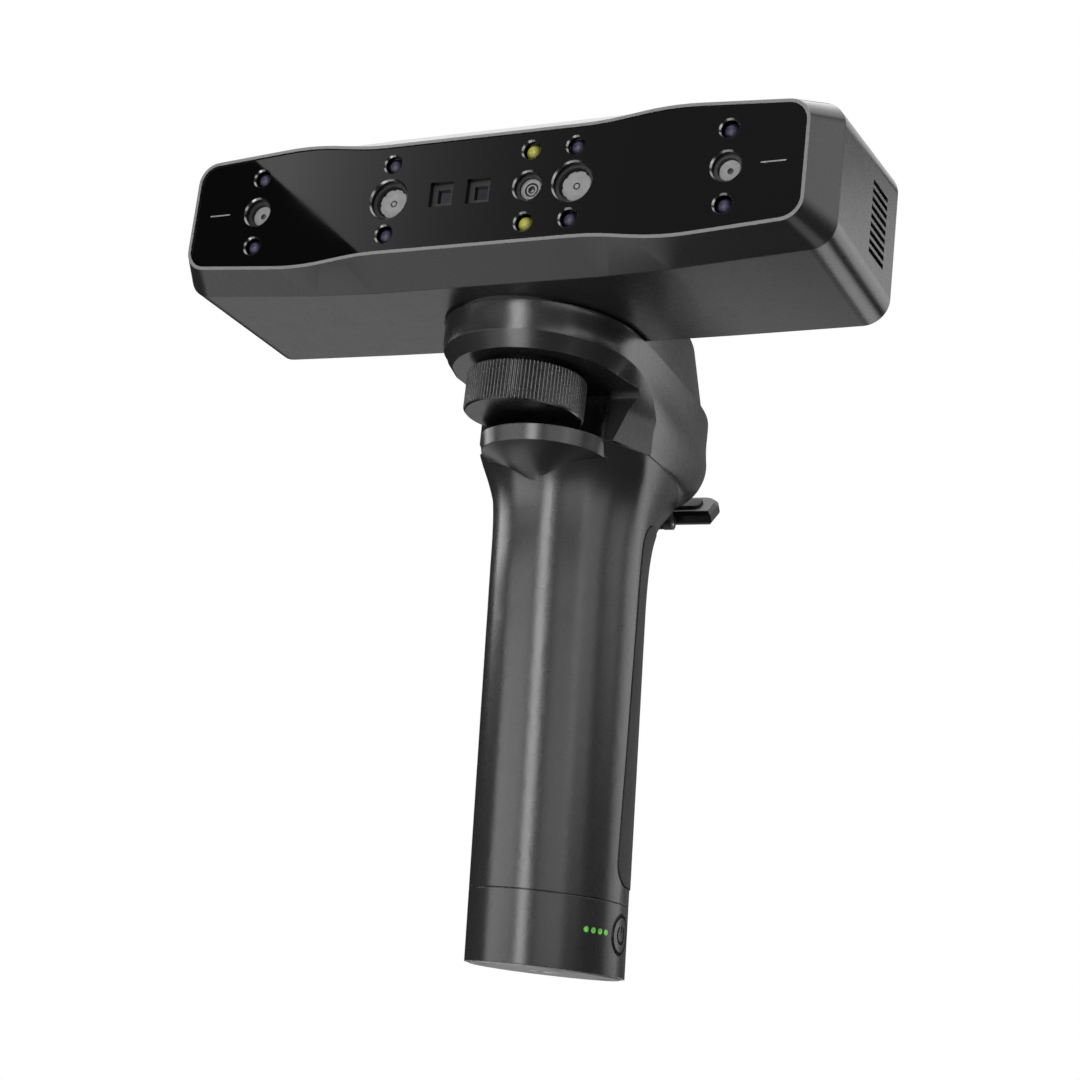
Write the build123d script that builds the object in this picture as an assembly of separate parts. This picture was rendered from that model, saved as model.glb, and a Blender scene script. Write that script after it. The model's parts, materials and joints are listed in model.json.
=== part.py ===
from build123d import *
import os
from collections import namedtuple
from math import cos, pi, radians, sin, sqrt

# Handheld three-d scanner. A scanner head is clamped by a thumb screw on the neck of a raked battery grip.
# Millimetres, +Z up, lenses facing -Y, origin at the centre of the grip's base.

# Heights, from the base up
BASE_CAP_HEIGHT = 22.9
GRIP_TOP_Z = 161.9
FINGER_GAP = 18.2
SEAT_CHAMFER = 5.2
SEAT_BAND = 8.8
SEAT_PAD_THICKNESS = 1.0
SEAT_UNDER_Z = GRIP_TOP_Z + FINGER_GAP
CREASE_Z = SEAT_UNDER_Z + SEAT_CHAMFER
BRIDGE_TOP_Z = CREASE_Z + SEAT_BAND
HEAD_BOTTOM_Z = BRIDGE_TOP_Z + SEAT_PAD_THICKNESS

# Grip: a raked oval that flares into the neck
GRIP_HALF_WIDTH = 24.5
GRIP_HALF_DEPTH = 29.0
GRIP_RAKE = 0.112
GRIP_WALL = 3.0
CAVITY_ROOM = 9.5
GRIP_TOP_BACK_Y = 40.0
SEAM_HEIGHT = 0.3
SEAM_DEPTH = 0.5
LIP_HEIGHT = 5.0
LIP_RADIUS = 21.2
LIP_CENTRE_Y = -40.0
LIP_TAPER = 0.8
LIP_BACK_Y = -28.0
LIP_SPREAD = 6.5
LIP_SCOOP_HEIGHT = 9.9
LIP_SCOOP_INWARDS = 11.9
LIP_SCOOP_BACK = 3.0
LIP_SCOOP_SHARES = (0.0, 0.55, 0.85, 1.0)
PAD_ABOVE_CAP = 5.5
PAD_BELOW_SEAM = 18.0
PAD_CORNER = 8.0
PAD_DEPTH = 1.4
PAD_PROUD = 0.3
PAD_GROOVE = 0.3
PAD_FRONT_LOW_Y = -6.2
PAD_FRONT_HIGH_Y = -13.2

# Flare at the top of the grip, in equal steps up to the seam: shares of its full growth,
# then how square and how tapered its front is below the lip
FLARE_HEIGHT = 57.0
SCOOP_DEPTH = 1.5
FLARE_WIDER = (0.0, 0.0, 0.0, 0.04, 0.17, 0.5, 1.0)
FLARE_FORWARD = (0.0, 0.0, 0.0, 0.03, 0.13, 0.5, 1.0)
FLARE_BACK = (0.0, 0.0, 0.02, 0.085, 0.24, 0.605, 1.0)
FLARE_SCOOP = (0.0, 0.0, 0.0, 0.27, 0.67, 1.0, 0.0)
FLARE_FRONT_POWER = (2.0, 2.0, 2.0, 2.0, 2.1, 2.4, 2.8)
FLARE_FRONT_TAPER = (0.0, 0.0, 0.0, 0.02, 0.1, 0.27, 0.34)
TAPER_CURVE = 1.3

# Base cap and what it carries
CAP_WALL = 2.4
CAP_COLLAR = 5.0
COLLAR_WALL = 1.7
CAP_LIFT = 0.4
CAP_EDGE_WALL = 1.3
FIT_GAP = 0.3
PLATE_THICKNESS = 3.0
TRIPOD_THREAD_R = 3.175
TRIPOD_BUSH_R = 5.0
TRIPOD_BUSH_DEPTH = 9.0
TRIPOD_BOSS_WALL = 2.6
BASE_SCREW_X = 13.0
BASE_SCREW_Y = 17.0
BASE_SCREW_R = 1.25
BASE_SCREW_HEAD_R = 2.5
BASE_SCREW_HEAD = 1.5
BASE_SCREW_LENGTH = 8.0
SOCKET_R = 1.3
SOCKET_DEPTH = 0.9
BASE_BOSS_R = 3.2
BUTTON_Z = 13.4
BUTTON_BACK = 2.2
BUTTON_R = 6.2
BUTTON_PROUD = 0.15
BUTTON_FLANGE = 0.7
BUTTON_FLANGE_T = 1.2
BUTTON_FLANGE_X = 19.4
BUTTON_STEM = 2.0
BUTTON_STEM_R = 2.0
SWITCH_GAP = 0.9
SWITCH_SIDE = 6.0
SWITCH_HEIGHT = 5.4
LIGHT_R = 0.9
LIGHT_Z = 13.2
LIGHT_AZIMUTHS = (53.0, 59.5, 66.0, 72.5)
LIGHT_DEPTH = 2.7
LIGHT_PROUD = 0.1
BOARD_T = 1.6
POWER_BOARD_Z = 9.2
POWER_BOARD_HALF_X = 15.0
POWER_BOARD_HALF_Y = 12.5
POWER_TAIL_HALF_X = 7.5
POWER_TAIL_GAP = 2.2
POST_R = 2.0
POST_X = 11.5
POST_Y = 9.5
PORT_WIDTH = 9.0
PORT_HEIGHT = 3.3
PORT_DEPTH = 7.4
PORT_WALL = 0.4
PORT_CORNER_SHARE = 0.45
PORT_TONGUE = 0.7
PORT_RECESS = 0.8

# Battery
CELL_R = 9.2
CELL_LENGTH = 65.0
CELL_SPACING = 19.0
CARRIER_FOOT = 8.6
CARRIER_END = 2.0
RAIL_WIDTH = 2.0
RAIL_HALF_DEPTH = 6.0
RAIL_X = 11.4
FOOT_WIDTH = 1.5
FOOT_HALF_DEPTH = 3.0

# Thumb screw
SCREW_Y = -58.0
SCREW_R = 3.12
SCREW_BITE = 9.0
SCREW_HOLE_GAP = 0.5
KNOB_R = 18.8
KNOB_FOOT_GAP = 2.8
KNOB_HEIGHT = 13.1
KNOB_CHAMFER = 0.8
KNOB_TOP_CHAMFER = 0.8
KNOB_FLUTES = 100
FLUTE_R = 0.48
KNOB_FLOOR = 3.0
KNOB_Z = GRIP_TOP_Z + KNOB_FOOT_GAP
KNOB_TOP_Z = KNOB_Z + KNOB_HEIGHT
WASHER_R = 9.0
RING_R = 6.0
RING_THICKNESS = 1.0
RING_DROP = 3.0
RING_POCKET_R = 7.2
RING_BELOW_SEAT = 3.2
RING_Z = BRIDGE_TOP_Z - RING_BELOW_SEAT

# Neck between grip and head
COLUMN_LOW_Y = -41.3
COLUMN_HIGH_Y = -34.6
GAP_CORNER = 2.5
POCKET_HALF_WIDTH = 20.2
POCKET_BACK_Y = -32.5
POCKET_CORNER = 8.0
CREASE_BACK_Y = -24.5
CREASE_RADIUS = 14.0
CREASE_HALF_WIDTH = 29.3
SEAT_STATION_Y = -50.0
SEAT_R = 30.6
SEAT_TOP_R = 31.5
SEAT_UNDER_R = 26.8
SEAT_NOSE = 1.8
COLUMN_FACE_HALF_WIDTH = 20.5
NECK_BULGE = 11.3
NECK_CAVITY_HALF_X = 17.0
NECK_CAVITY_FRONT_Y = -22.0
NECK_BACK_WALL = 6.0
NECK_FLOOR = 8.1
NECK_POST = 4.0
NECK_POST_R = 2.0
WIRELESS_MARGIN = 3.0
HUMP_HEAD_GAP = 1.5
HUMP_HEIGHT = 25.3
HUMP_WALL = 2.4
HUMP_SETBACK = 2.5
HUMP_SIDE_LEAN = 2.2
HUMP_BACK_LEAN = 13.0
HUMP_ROUND = 5.0
HUMP_POWER = 5.0
HUMP_TAPER = 0.2

# Neck from the seam up to the head, level by level: share of its widening, share of the way from the crease
# to the seat, share of its bulge at the back, squareness and taper of the back
NECK_LOW_LEVEL = 0.2
NECK_MIDDLE_LEVEL = 0.6
NECK_WIDER = (0.0, 0.05, 0.14, 0.41, 0.59, 0.77, 1.0)
NECK_STATION = (0.0, 0.0, 0.14, 0.61, 1.0, 1.0, 1.0)
NECK_BACK = (0.0, 0.5, 0.87, 1.0, 0.99, 0.885, 0.665)
NECK_POWER = (2.0, 2.55, 3.7, 4.8, 5.0, 5.1, 5.2)
NECK_TAPER = (0.0, 0.03, 0.11, 0.19, 0.22, 0.22, 0.21)

# Seat pad between neck and head
SEAT_PAD_R = 21.5
SEAT_PAD_Y = -62.0

# Scanner head
HEAD_HEIGHT = 51.6
HEAD_HALF_LENGTH = 109.2
HEAD_DEPTH = 66.0
HEAD_FRONT_TO_SCREW = 45.5
BEZEL_DEPTH = 12.0
HEAD_CORNER = 8.0
HEAD_END_DROP = 3.8
HEAD_BACK_END_DROP = 0.8
HEAD_WALL = 2.4
HEAD_BACK_ROUND = 2.0
OUTLINE_BLEND = 90.0
SHOULDER_DROP_SHARE = 0.6
WAIST_X = 39.0
SHOULDER_X = 61.0
WINDOW_END_MARGIN = 7.2
WINDOW_WAIST = 17.0
WINDOW_SHOULDER = 19.8
WINDOW_END = 16.9
WINDOW_CORNER = 6.0
WINDOW_THICKNESS = 1.8
WINDOW_RECESS = 0.5
WINDOW_GAP = 0.1
WINDOW_BEVEL = 0.5
RIM_WIDTH = 1.1
LEDGE_WIDTH = 3.0
GASKET_THICKNESS = 0.4
BENCH_THICKNESS = 3.0
BENCH_POST_INSET = 19.2
BENCH_POST_Z = 11.0
BENCH_POST_R = 3.6
BENCH_SHOULDER = 1.2
MAIN_BOARD_MARGIN_X = 6.0
MAIN_BOARD_MARGIN_Z = 4.5
MAIN_BOARD_STANDOFF = 9.0
SINK_END_MARGIN = 26.0
SINK_HALF_Z = 13.0
SINK_BASE = 2.5
SINK_FIN_HEIGHT = 13.0
SINK_FIN_T = 1.2
SINK_FINS = 9
VENT_SLOTS = 9
VENT_PITCH = 2.65
VENT_SLOT_HEIGHT = 1.6
VENT_SLOT_LENGTH = 14.2
VENT_FROM_BACK = 18.5
BUSH_R = 6.0
BUSH_BORE_R = 3.175
BUSH_LENGTH = 12.0
BUSH_BOSS_WALL = 3.0
CASE_SCREW_R = 1.45
CASE_SCREW_HEAD_R = 2.8
CASE_SCREW_HEAD = 1.2
CASE_SCREW_BITE = 9.0
HEAD_PORT_X = 52.0
HEAD_PORT_BOSS = 1.6

# Front optics: places along the head and radii of the holes in the window
OUTER_CAMERA_INSET = 30.2
OUTER_CAMERA_X = HEAD_HALF_LENGTH - OUTER_CAMERA_INSET
NEAR_CAMERA_X = 31.0
COLOUR_CAMERA_X = 16.4
SMALL_HOLE_R = 4.5
LARGE_HOLE_R = 6.2
CAMERAS = {
    "outer_camera_left": (-OUTER_CAMERA_X, SMALL_HOLE_R),
    "near_camera_left": (-NEAR_CAMERA_X, LARGE_HOLE_R),
    "colour_camera": (COLOUR_CAMERA_X, SMALL_HOLE_R),
    "near_camera_right": (NEAR_CAMERA_X, LARGE_HOLE_R),
    "outer_camera_right": (OUTER_CAMERA_X, SMALL_HOLE_R),
}
PROJECTORS = {"projector_left": -12.6, "projector_right": 0.0}
PROJECTOR_HALF = 4.0
PROJECTOR_LENS_HALF = 2.2
BARREL_WALL = 1.2
BARREL_LIP = 1.0
LENS_DEPTH = 3.0
LENS_CROWN = 1.0
LIGHT_ROW_Z = 11.5
LED_HOLE_R = 2.75
LED_GAP = 0.25
INFRARED_X = (-OUTER_CAMERA_X, -NEAR_CAMERA_X, NEAR_CAMERA_X, OUTER_CAMERA_X)
FILL_X = (COLOUR_CAMERA_X,)

# Rest at the back
REST_STANDOFF = 4.3
REST_BELOW_SEAM = 2.1
REST_TILT = 40.0
REST_LENGTH = 17.6
REST_HALF_WIDTH = 22.6
REST_THICKNESS = 5.2
REST_CORNER = 7.0
REST_ROOT = 3.0
REST_KNUCKLE_R = 2.2
REST_KNUCKLE_HALF = 6.0
REST_EDGE = 1.2
EAR_GAP = 0.3
EAR_WIDTH = 3.2
EAR_R = 2.4
EAR_RISE = 10.0
EAR_LEAN = 5.0
EAR_HEEL = 0.4
PIN_R = 1.0
PIN_GAP = 0.05
STRIP_THICKNESS = 0.8
STRIP_HALF_WIDTH = 17.0
STRIP_DEPTH = 6.5

# Places worked out from the sizes above
FLARE_START_Z = GRIP_TOP_Z - FLARE_HEIGHT
PAD_LOW_Z = BASE_CAP_HEIGHT + PAD_ABOVE_CAP
PAD_HIGH_Z = GRIP_TOP_Z - PAD_BELOW_SEAM
CELL_MIDDLE_Z = BASE_CAP_HEIGHT + CAP_COLLAR + CARRIER_FOOT + CELL_LENGTH / 2
CAVITY_TOP_Z = CELL_MIDDLE_Z + CELL_LENGTH / 2 + CARRIER_END + CAVITY_ROOM
POWER_TAIL_Y = GRIP_HALF_DEPTH - GRIP_RAKE * POWER_BOARD_Z - CAP_WALL - POWER_TAIL_GAP
NECK_CAVITY_FLOOR_Z = GRIP_TOP_Z + NECK_FLOOR
NECK_CAVITY_BACK_Y = GRIP_TOP_BACK_Y - NECK_BACK_WALL
REST_HINGE_Y = GRIP_TOP_BACK_Y + REST_STANDOFF
REST_HINGE_Z = GRIP_TOP_Z - REST_BELOW_SEAM
WINDOW_HALF_LENGTH = HEAD_HALF_LENGTH - WINDOW_END_MARGIN
BENCH_POST_X = HEAD_HALF_LENGTH - BENCH_POST_INSET
MAIN_BOARD_HALF_X = BENCH_POST_X + MAIN_BOARD_MARGIN_X
MAIN_BOARD_HALF_Z = BENCH_POST_Z + MAIN_BOARD_MARGIN_Z
SINK_HALF_X = MAIN_BOARD_HALF_X - SINK_END_MARGIN
HEAD_CENTRE_Z = HEAD_BOTTOM_Z + HEAD_HEIGHT / 2
HEAD_FRONT_Y = SCREW_Y - HEAD_FRONT_TO_SCREW
HEAD_SEAM_Y = HEAD_FRONT_Y + BEZEL_DEPTH
HEAD_BACK_Y = HEAD_FRONT_Y + HEAD_DEPTH
HUMP_FRONT_Y = HEAD_BACK_Y + HUMP_HEAD_GAP
HUMP_BACK_Y = GRIP_TOP_BACK_Y + NECK_BULGE * NECK_BACK[-1] - HUMP_SETBACK
HUMP_HALF_WIDTH = SEAT_TOP_R - HUMP_SETBACK
WINDOW_FRONT_Y = HEAD_FRONT_Y + WINDOW_RECESS
WINDOW_BACK_Y = WINDOW_FRONT_Y + WINDOW_THICKNESS
LEDGE_Y = WINDOW_BACK_Y + GASKET_THICKNESS
BARREL_FRONT_Y = WINDOW_BACK_Y + FIT_GAP
BENCH_BACK_Y = HEAD_SEAM_Y + BENCH_THICKNESS
MAIN_BOARD_Y = BENCH_BACK_Y + MAIN_BOARD_STANDOFF
BASE_SCREWS = [(x, y) for x in (-BASE_SCREW_X, BASE_SCREW_X) for y in (-BASE_SCREW_Y, BASE_SCREW_Y)]
BENCH_POSTS = [(x, z) for x in (-BENCH_POST_X, BENCH_POST_X) for z in (-BENCH_POST_Z, BENCH_POST_Z)]

OUTLINE_STEPS = 14
CREASE_STEPS = 4
FAR = 60.0
Section = namedtuple(
    "Section",
    "z half_width station front back back_power back_taper front_power front_taper",
    defaults=(2.0, 0.0, 2.0, 0.0),
)


def half_outline(section, side):
    """Front (side -1) or back (side 1) half of a moulded section, a tapered superellipse."""
    if side < 0:
        depth, power, taper = section.front, section.front_power, section.front_taper
    else:
        depth, power, taper = section.back, section.back_power, section.back_taper
    points = []
    for step in range(OUTLINE_STEPS + 1):
        angle = pi * step / OUTLINE_STEPS
        reach = max(sin(angle), 0.0) ** (2 / power)
        spread = abs(cos(angle)) ** (2 / power) * (1 - taper * reach ** TAPER_CURVE)
        x = section.half_width * (spread if angle < pi / 2 else -spread)
        points.append((x, section.station + side * depth * reach, section.z))
    points[-1] = (-section.half_width, section.station, section.z)
    return Spline(points, tangents=[(0, side, 0), (0, -side, 0)])


def grown(section, amount):
    return section._replace(
        half_width=section.half_width + amount,
        front=section.front + amount,
        back=section.back + amount,
    )


def moulded(sections, ruled=False):
    wires = [Wire([half_outline(s, 1), half_outline(s, -1)]) for s in sections]
    return Solid.make_loft(wires, ruled)


def block(x0, x1, y0, y1, z0, z1):
    return Pos((x0 + x1) / 2, (y0 + y1) / 2, (z0 + z1) / 2) * Box(x1 - x0, y1 - y0, z1 - z0)


def rod(x, y, z0, z1, radius):
    return Pos(x, y, (z0 + z1) / 2) * Cylinder(radius, z1 - z0)


def rod_along_x(y, z, x0, x1, radius):
    return Pos((x0 + x1) / 2, y, z) * Rot(0, 90, 0) * Cylinder(radius, x1 - x0)


def rod_along_y(x, z, y0, y1, radius):
    return Pos(x, (y0 + y1) / 2, z) * Rot(90, 0, 0) * Cylinder(radius, y1 - y0)


def side_prism(points, x0, x1, corners=()):
    """Prism of an outline in (y, z), from x0 to x1; corners are (index, radius) to round."""
    outline = make_face(Polyline(*points, close=True))
    for index, radius in corners:
        outline = fillet(outline.vertices().sort_by_distance(points[index])[0], radius)
    plane = Plane(origin=(x0, 0, 0), x_dir=(0, 1, 0), z_dir=(1, 0, 0))
    return extrude(plane * outline, amount=x1 - x0)


# Grip

def oval(z):
    """Straight part of the grip: one oval all the way, moved along the rake."""
    return Section(z, GRIP_HALF_WIDTH, -GRIP_RAKE * z, GRIP_HALF_DEPTH, GRIP_HALF_DEPTH)


def flare(step):
    """Section near the top of the grip, as changes to the oval at that height."""
    base = oval(FLARE_START_Z + FLARE_HEIGHT * step / (len(FLARE_WIDER) - 1))
    return base._replace(
        half_width=base.half_width + (CREASE_HALF_WIDTH - GRIP_HALF_WIDTH) * FLARE_WIDER[step],
        station=base.station - (oval(GRIP_TOP_Z).station - CREASE_BACK_Y) * FLARE_FORWARD[step],
        front=base.front - SCOOP_DEPTH * FLARE_SCOOP[step],
        back=base.back + (GRIP_TOP_BACK_Y - CREASE_BACK_Y - GRIP_HALF_DEPTH) * FLARE_BACK[step],
        front_power=FLARE_FRONT_POWER[step],
        front_taper=FLARE_FRONT_TAPER[step],
    )


def grip_body(amount):
    """Outside of the grip, moved outwards by an amount: straight below, flaring into the neck above."""
    flared = [flare(step) for step in range(len(FLARE_WIDER))]
    straight = moulded([grown(oval(z), amount) for z in (BASE_CAP_HEIGHT, FLARE_START_Z)], True)
    return straight + moulded([grown(section, amount) for section in flared])


def pad_outline(margin):
    """Side view of the rubber pad, rounded at its front corners and running out past the back."""
    points = [
        (PAD_FRONT_LOW_Y - margin, PAD_LOW_Z - margin),
        (FAR, PAD_LOW_Z - margin),
        (FAR, PAD_HIGH_Z + margin),
        (PAD_FRONT_HIGH_Y - margin, PAD_HIGH_Z + margin),
    ]
    return side_prism(points, -FAR, FAR, [(0, PAD_CORNER), (3, PAD_CORNER)])


def lip_outline(z, radius, centre_y):
    """Outline of the lip under the knob: round in front, its sides spreading into the grip."""
    rear = radius + LIP_SPREAD
    left, right = (-radius, centre_y, z), (radius, centre_y, z)
    rear_left, rear_right = (-rear, LIP_BACK_Y, z), (rear, LIP_BACK_Y, z)
    nose = ThreePointArc(left, (0, centre_y - radius, z), right)
    sides = [Line(right, rear_right), Line(rear_right, rear_left), Line(rear_left, left)]
    return Wire([nose] + sides)


def grip_lip():
    """Lip under the knob, its underside scooped back into the grip."""
    low_z = GRIP_TOP_Z - LIP_HEIGHT
    low_radius = LIP_RADIUS - LIP_TAPER
    scoop = []
    for step, share in enumerate(LIP_SCOOP_SHARES):
        z = low_z - LIP_SCOOP_HEIGHT * step / (len(LIP_SCOOP_SHARES) - 1)
        centre_y = LIP_CENTRE_Y + LIP_SCOOP_BACK * share
        scoop.append(lip_outline(z, low_radius - LIP_SCOOP_INWARDS * share, centre_y))
    band = [scoop[0], lip_outline(GRIP_TOP_Z, LIP_RADIUS, LIP_CENTRE_Y)]
    return Solid.make_loft(band, True) + Solid.make_loft(scoop)


def grip_shell():
    cavity = moulded([grown(oval(z), -GRIP_WALL) for z in (BASE_CAP_HEIGHT, CAVITY_TOP_Z)], True)
    pocket = pad_outline(PAD_GROOVE) - grip_body(-PAD_DEPTH)
    seam = block(-FAR, FAR, COLUMN_LOW_Y, FAR, GRIP_TOP_Z - SEAM_HEIGHT, GRIP_TOP_Z) - grip_body(-SEAM_DEPTH)
    return grip_body(0.0) + grip_lip() - cavity - pocket - seam


def grip_pad():
    return (grip_body(PAD_PROUD) & pad_outline(0.0)) - grip_body(-PAD_DEPTH)


# Base cap

def cap_body(amount, z0, z1):
    return moulded([grown(oval(z0), amount), grown(oval(z1), amount)], True)


def light_pipe(azimuth, radius):
    """Light pipe through the cap's wall, square to the axis of the grip."""
    across, along = sin(radians(azimuth)), -cos(radians(azimuth))
    reach = 1 / sqrt((across / GRIP_HALF_WIDTH) ** 2 + (along / GRIP_HALF_DEPTH) ** 2)
    middle = (across * reach, along * reach - GRIP_RAKE * LIGHT_Z, LIGHT_Z)
    return Plane(origin=middle, z_dir=(across, along, 0)) * Cylinder(radius, 2 * LIGHT_DEPTH)


def button_rod(radius, x0, x1):
    return rod_along_x(BUTTON_BACK - GRIP_RAKE * BUTTON_Z, BUTTON_Z, x0, x1, radius)


def charge_slot(y0, y1, margin):
    """Rounded slot of the charging socket, on the power board, through the cap's back wall."""
    outline = RectangleRounded(
        PORT_WIDTH + 2 * margin, PORT_HEIGHT + 2 * margin, (PORT_HEIGHT + 2 * margin) * PORT_CORNER_SHARE
    )
    centre_z = POWER_BOARD_Z + BOARD_T + PORT_HEIGHT / 2
    plane = Plane(origin=(0, y0, centre_z), x_dir=(1, 0, 0), z_dir=(0, 1, 0))
    return extrude(plane * outline, amount=y1 - y0)


def base_cap():
    ledge_z = BASE_CAP_HEIGHT - CAP_WALL
    collar = -GRIP_WALL - FIT_GAP
    cap = cap_body(0.0, CAP_LIFT, BASE_CAP_HEIGHT)
    cap += cap_body(collar, BASE_CAP_HEIGHT, BASE_CAP_HEIGHT + CAP_COLLAR)
    cap -= cap_body(collar - COLLAR_WALL, ledge_z, BASE_CAP_HEIGHT + CAP_COLLAR)
    cap -= cap_body(-CAP_WALL, PLATE_THICKNESS, ledge_z)
    cap -= cap_body(-CAP_EDGE_WALL, CAP_LIFT, PLATE_THICKNESS)
    seam_z = BASE_CAP_HEIGHT - SEAM_HEIGHT
    seam = block(-FAR, FAR, -FAR, FAR, seam_z, BASE_CAP_HEIGHT)
    cap -= seam - cap_body(-SEAM_DEPTH, seam_z, BASE_CAP_HEIGHT)
    inside = cap_body(-CAP_WALL / 2, PLATE_THICKNESS, ledge_z)
    for x, y in BASE_SCREWS:
        cap += rod(x, y, PLATE_THICKNESS, ledge_z, BASE_BOSS_R) & inside
    for x, y in BASE_SCREWS:
        cap -= rod(x, y, PLATE_THICKNESS, PLATE_THICKNESS + BASE_SCREW_LENGTH, BASE_SCREW_R)
    cap -= button_rod(BUTTON_R + FIT_GAP, BUTTON_FLANGE_X, FAR)
    cap -= charge_slot(GRIP_HALF_DEPTH / 2, FAR, FIT_GAP)
    for azimuth in LIGHT_AZIMUTHS:
        cap -= light_pipe(azimuth, LIGHT_R)
    return cap


def base_plate():
    plate = cap_body(-CAP_EDGE_WALL - FIT_GAP, 0.0, PLATE_THICKNESS)
    plate += rod(0, 0, 0, TRIPOD_BUSH_DEPTH, TRIPOD_BUSH_R + TRIPOD_BOSS_WALL)
    for x in (-POST_X, POST_X):
        for y in (-POST_Y, POST_Y):
            plate += rod(x, y, 0, POWER_BOARD_Z, POST_R)
    plate -= rod(0, 0, 0, TRIPOD_BUSH_DEPTH, TRIPOD_BUSH_R)
    for x, y in BASE_SCREWS:
        plate -= rod(x, y, 0, PLATE_THICKNESS, BASE_SCREW_R)
        plate -= rod(x, y, 0, BASE_SCREW_HEAD, BASE_SCREW_HEAD_R)
    return plate


def tripod_bush():
    return rod(0, 0, 0, TRIPOD_BUSH_DEPTH, TRIPOD_BUSH_R) - rod(0, 0, 0, TRIPOD_BUSH_DEPTH, TRIPOD_THREAD_R)


def key_socket(plane):
    """Six-sided socket for a key, sunk into a screw's head along the plane's normal."""
    return extrude(plane * RegularPolygon(SOCKET_R, 6), amount=SOCKET_DEPTH)


def base_screws():
    top_z = PLATE_THICKNESS + BASE_SCREW_LENGTH
    screws = []
    for x, y in BASE_SCREWS:
        screw = rod(x, y, 0, BASE_SCREW_HEAD, BASE_SCREW_HEAD_R) + rod(x, y, 0, top_z, BASE_SCREW_R)
        screws.append(screw - key_socket(Plane(origin=(x, y, 0))))
    return screws


def power_board():
    top_z = POWER_BOARD_Z + BOARD_T
    half_x, half_y = POWER_BOARD_HALF_X, POWER_BOARD_HALF_Y
    board = block(-half_x, half_x, -half_y, half_y, POWER_BOARD_Z, top_z)
    board += block(-POWER_TAIL_HALF_X, POWER_TAIL_HALF_X, half_y, POWER_TAIL_Y, POWER_BOARD_Z, top_z)
    return board - rod(0, 0, POWER_BOARD_Z, top_z, TRIPOD_BUSH_R + TRIPOD_BOSS_WALL + FIT_GAP)


def push_switch():
    front_x = BUTTON_FLANGE_X - BUTTON_STEM - SWITCH_GAP
    middle_y = BUTTON_BACK - GRIP_RAKE * BUTTON_Z
    base_z = POWER_BOARD_Z + BOARD_T
    half = SWITCH_SIDE / 2
    return block(front_x - SWITCH_SIDE, front_x, middle_y - half, middle_y + half,
                 base_z, base_z + SWITCH_HEIGHT)


def charge_socket():
    mouth_y = GRIP_HALF_DEPTH - GRIP_RAKE * POWER_BOARD_Z - PORT_RECESS
    shell = charge_slot(mouth_y - PORT_DEPTH, mouth_y, 0.0)
    hollow = charge_slot(mouth_y - PORT_DEPTH + PORT_WALL, mouth_y, -PORT_WALL)
    middle_z = POWER_BOARD_Z + BOARD_T + PORT_HEIGHT / 2
    half_x = PORT_WIDTH / 2 - PORT_HEIGHT / 2
    tongue = block(-half_x, half_x, mouth_y - PORT_DEPTH, mouth_y - PORT_RECESS,
                   middle_z - PORT_TONGUE / 2, middle_z + PORT_TONGUE / 2)
    return shell - hollow + tongue


def charge_lights():
    outside = cap_body(LIGHT_PROUD, CAP_LIFT, BASE_CAP_HEIGHT)
    return [light_pipe(azimuth, LIGHT_R) & outside for azimuth in LIGHT_AZIMUTHS]


def power_button():
    face = cap_body(BUTTON_PROUD, CAP_LIFT, BASE_CAP_HEIGHT)
    button = button_rod(BUTTON_R, BUTTON_FLANGE_X, FAR) & face
    button += button_rod(BUTTON_R + BUTTON_FLANGE, BUTTON_FLANGE_X, BUTTON_FLANGE_X + BUTTON_FLANGE_T)
    return button + button_rod(BUTTON_STEM_R, BUTTON_FLANGE_X - BUTTON_STEM, BUTTON_FLANGE_X)


# Battery

def battery_frame():
    """Frame at the middle of the cells, with its Z along the raked axis of the grip."""
    return Plane(
        origin=(0, -GRIP_RAKE * CELL_MIDDLE_Z, CELL_MIDDLE_Z), x_dir=(1, 0, 0), z_dir=(0, -GRIP_RAKE, 1)
    )


def battery_cell(side):
    return battery_frame() * rod(0, side * CELL_SPACING / 2, -CELL_LENGTH / 2, CELL_LENGTH / 2, CELL_R)


def battery_carrier():
    end_z = CELL_LENGTH / 2
    margin = GRIP_WALL + FIT_GAP
    end = Ellipse(GRIP_HALF_WIDTH - margin, GRIP_HALF_DEPTH - margin - FIT_GAP)
    carrier = extrude(Plane.XY.offset(end_z) * end, amount=CARRIER_END)
    carrier += extrude(Plane.XY.offset(-end_z - CARRIER_END) * end, amount=CARRIER_END)
    for side in (-1, 1):
        x0, x1 = sorted((side * RAIL_X, side * (RAIL_X + RAIL_WIDTH)))
        carrier += block(x0, x1, -RAIL_HALF_DEPTH, RAIL_HALF_DEPTH, -end_z, end_z)
    carrier = battery_frame() * carrier
    foot_x = GRIP_HALF_WIDTH - margin - FIT_GAP
    foot_z = BASE_CAP_HEIGHT + CAP_COLLAR
    foot_y = -GRIP_RAKE * foot_z
    for side in (-1, 1):
        x0, x1 = sorted((side * (foot_x - FOOT_WIDTH), side * foot_x))
        carrier += block(x0, x1, foot_y - FOOT_HALF_DEPTH, foot_y + FOOT_HALF_DEPTH,
                         foot_z, CELL_MIDDLE_Z - end_z)
    return carrier


# Neck

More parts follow.
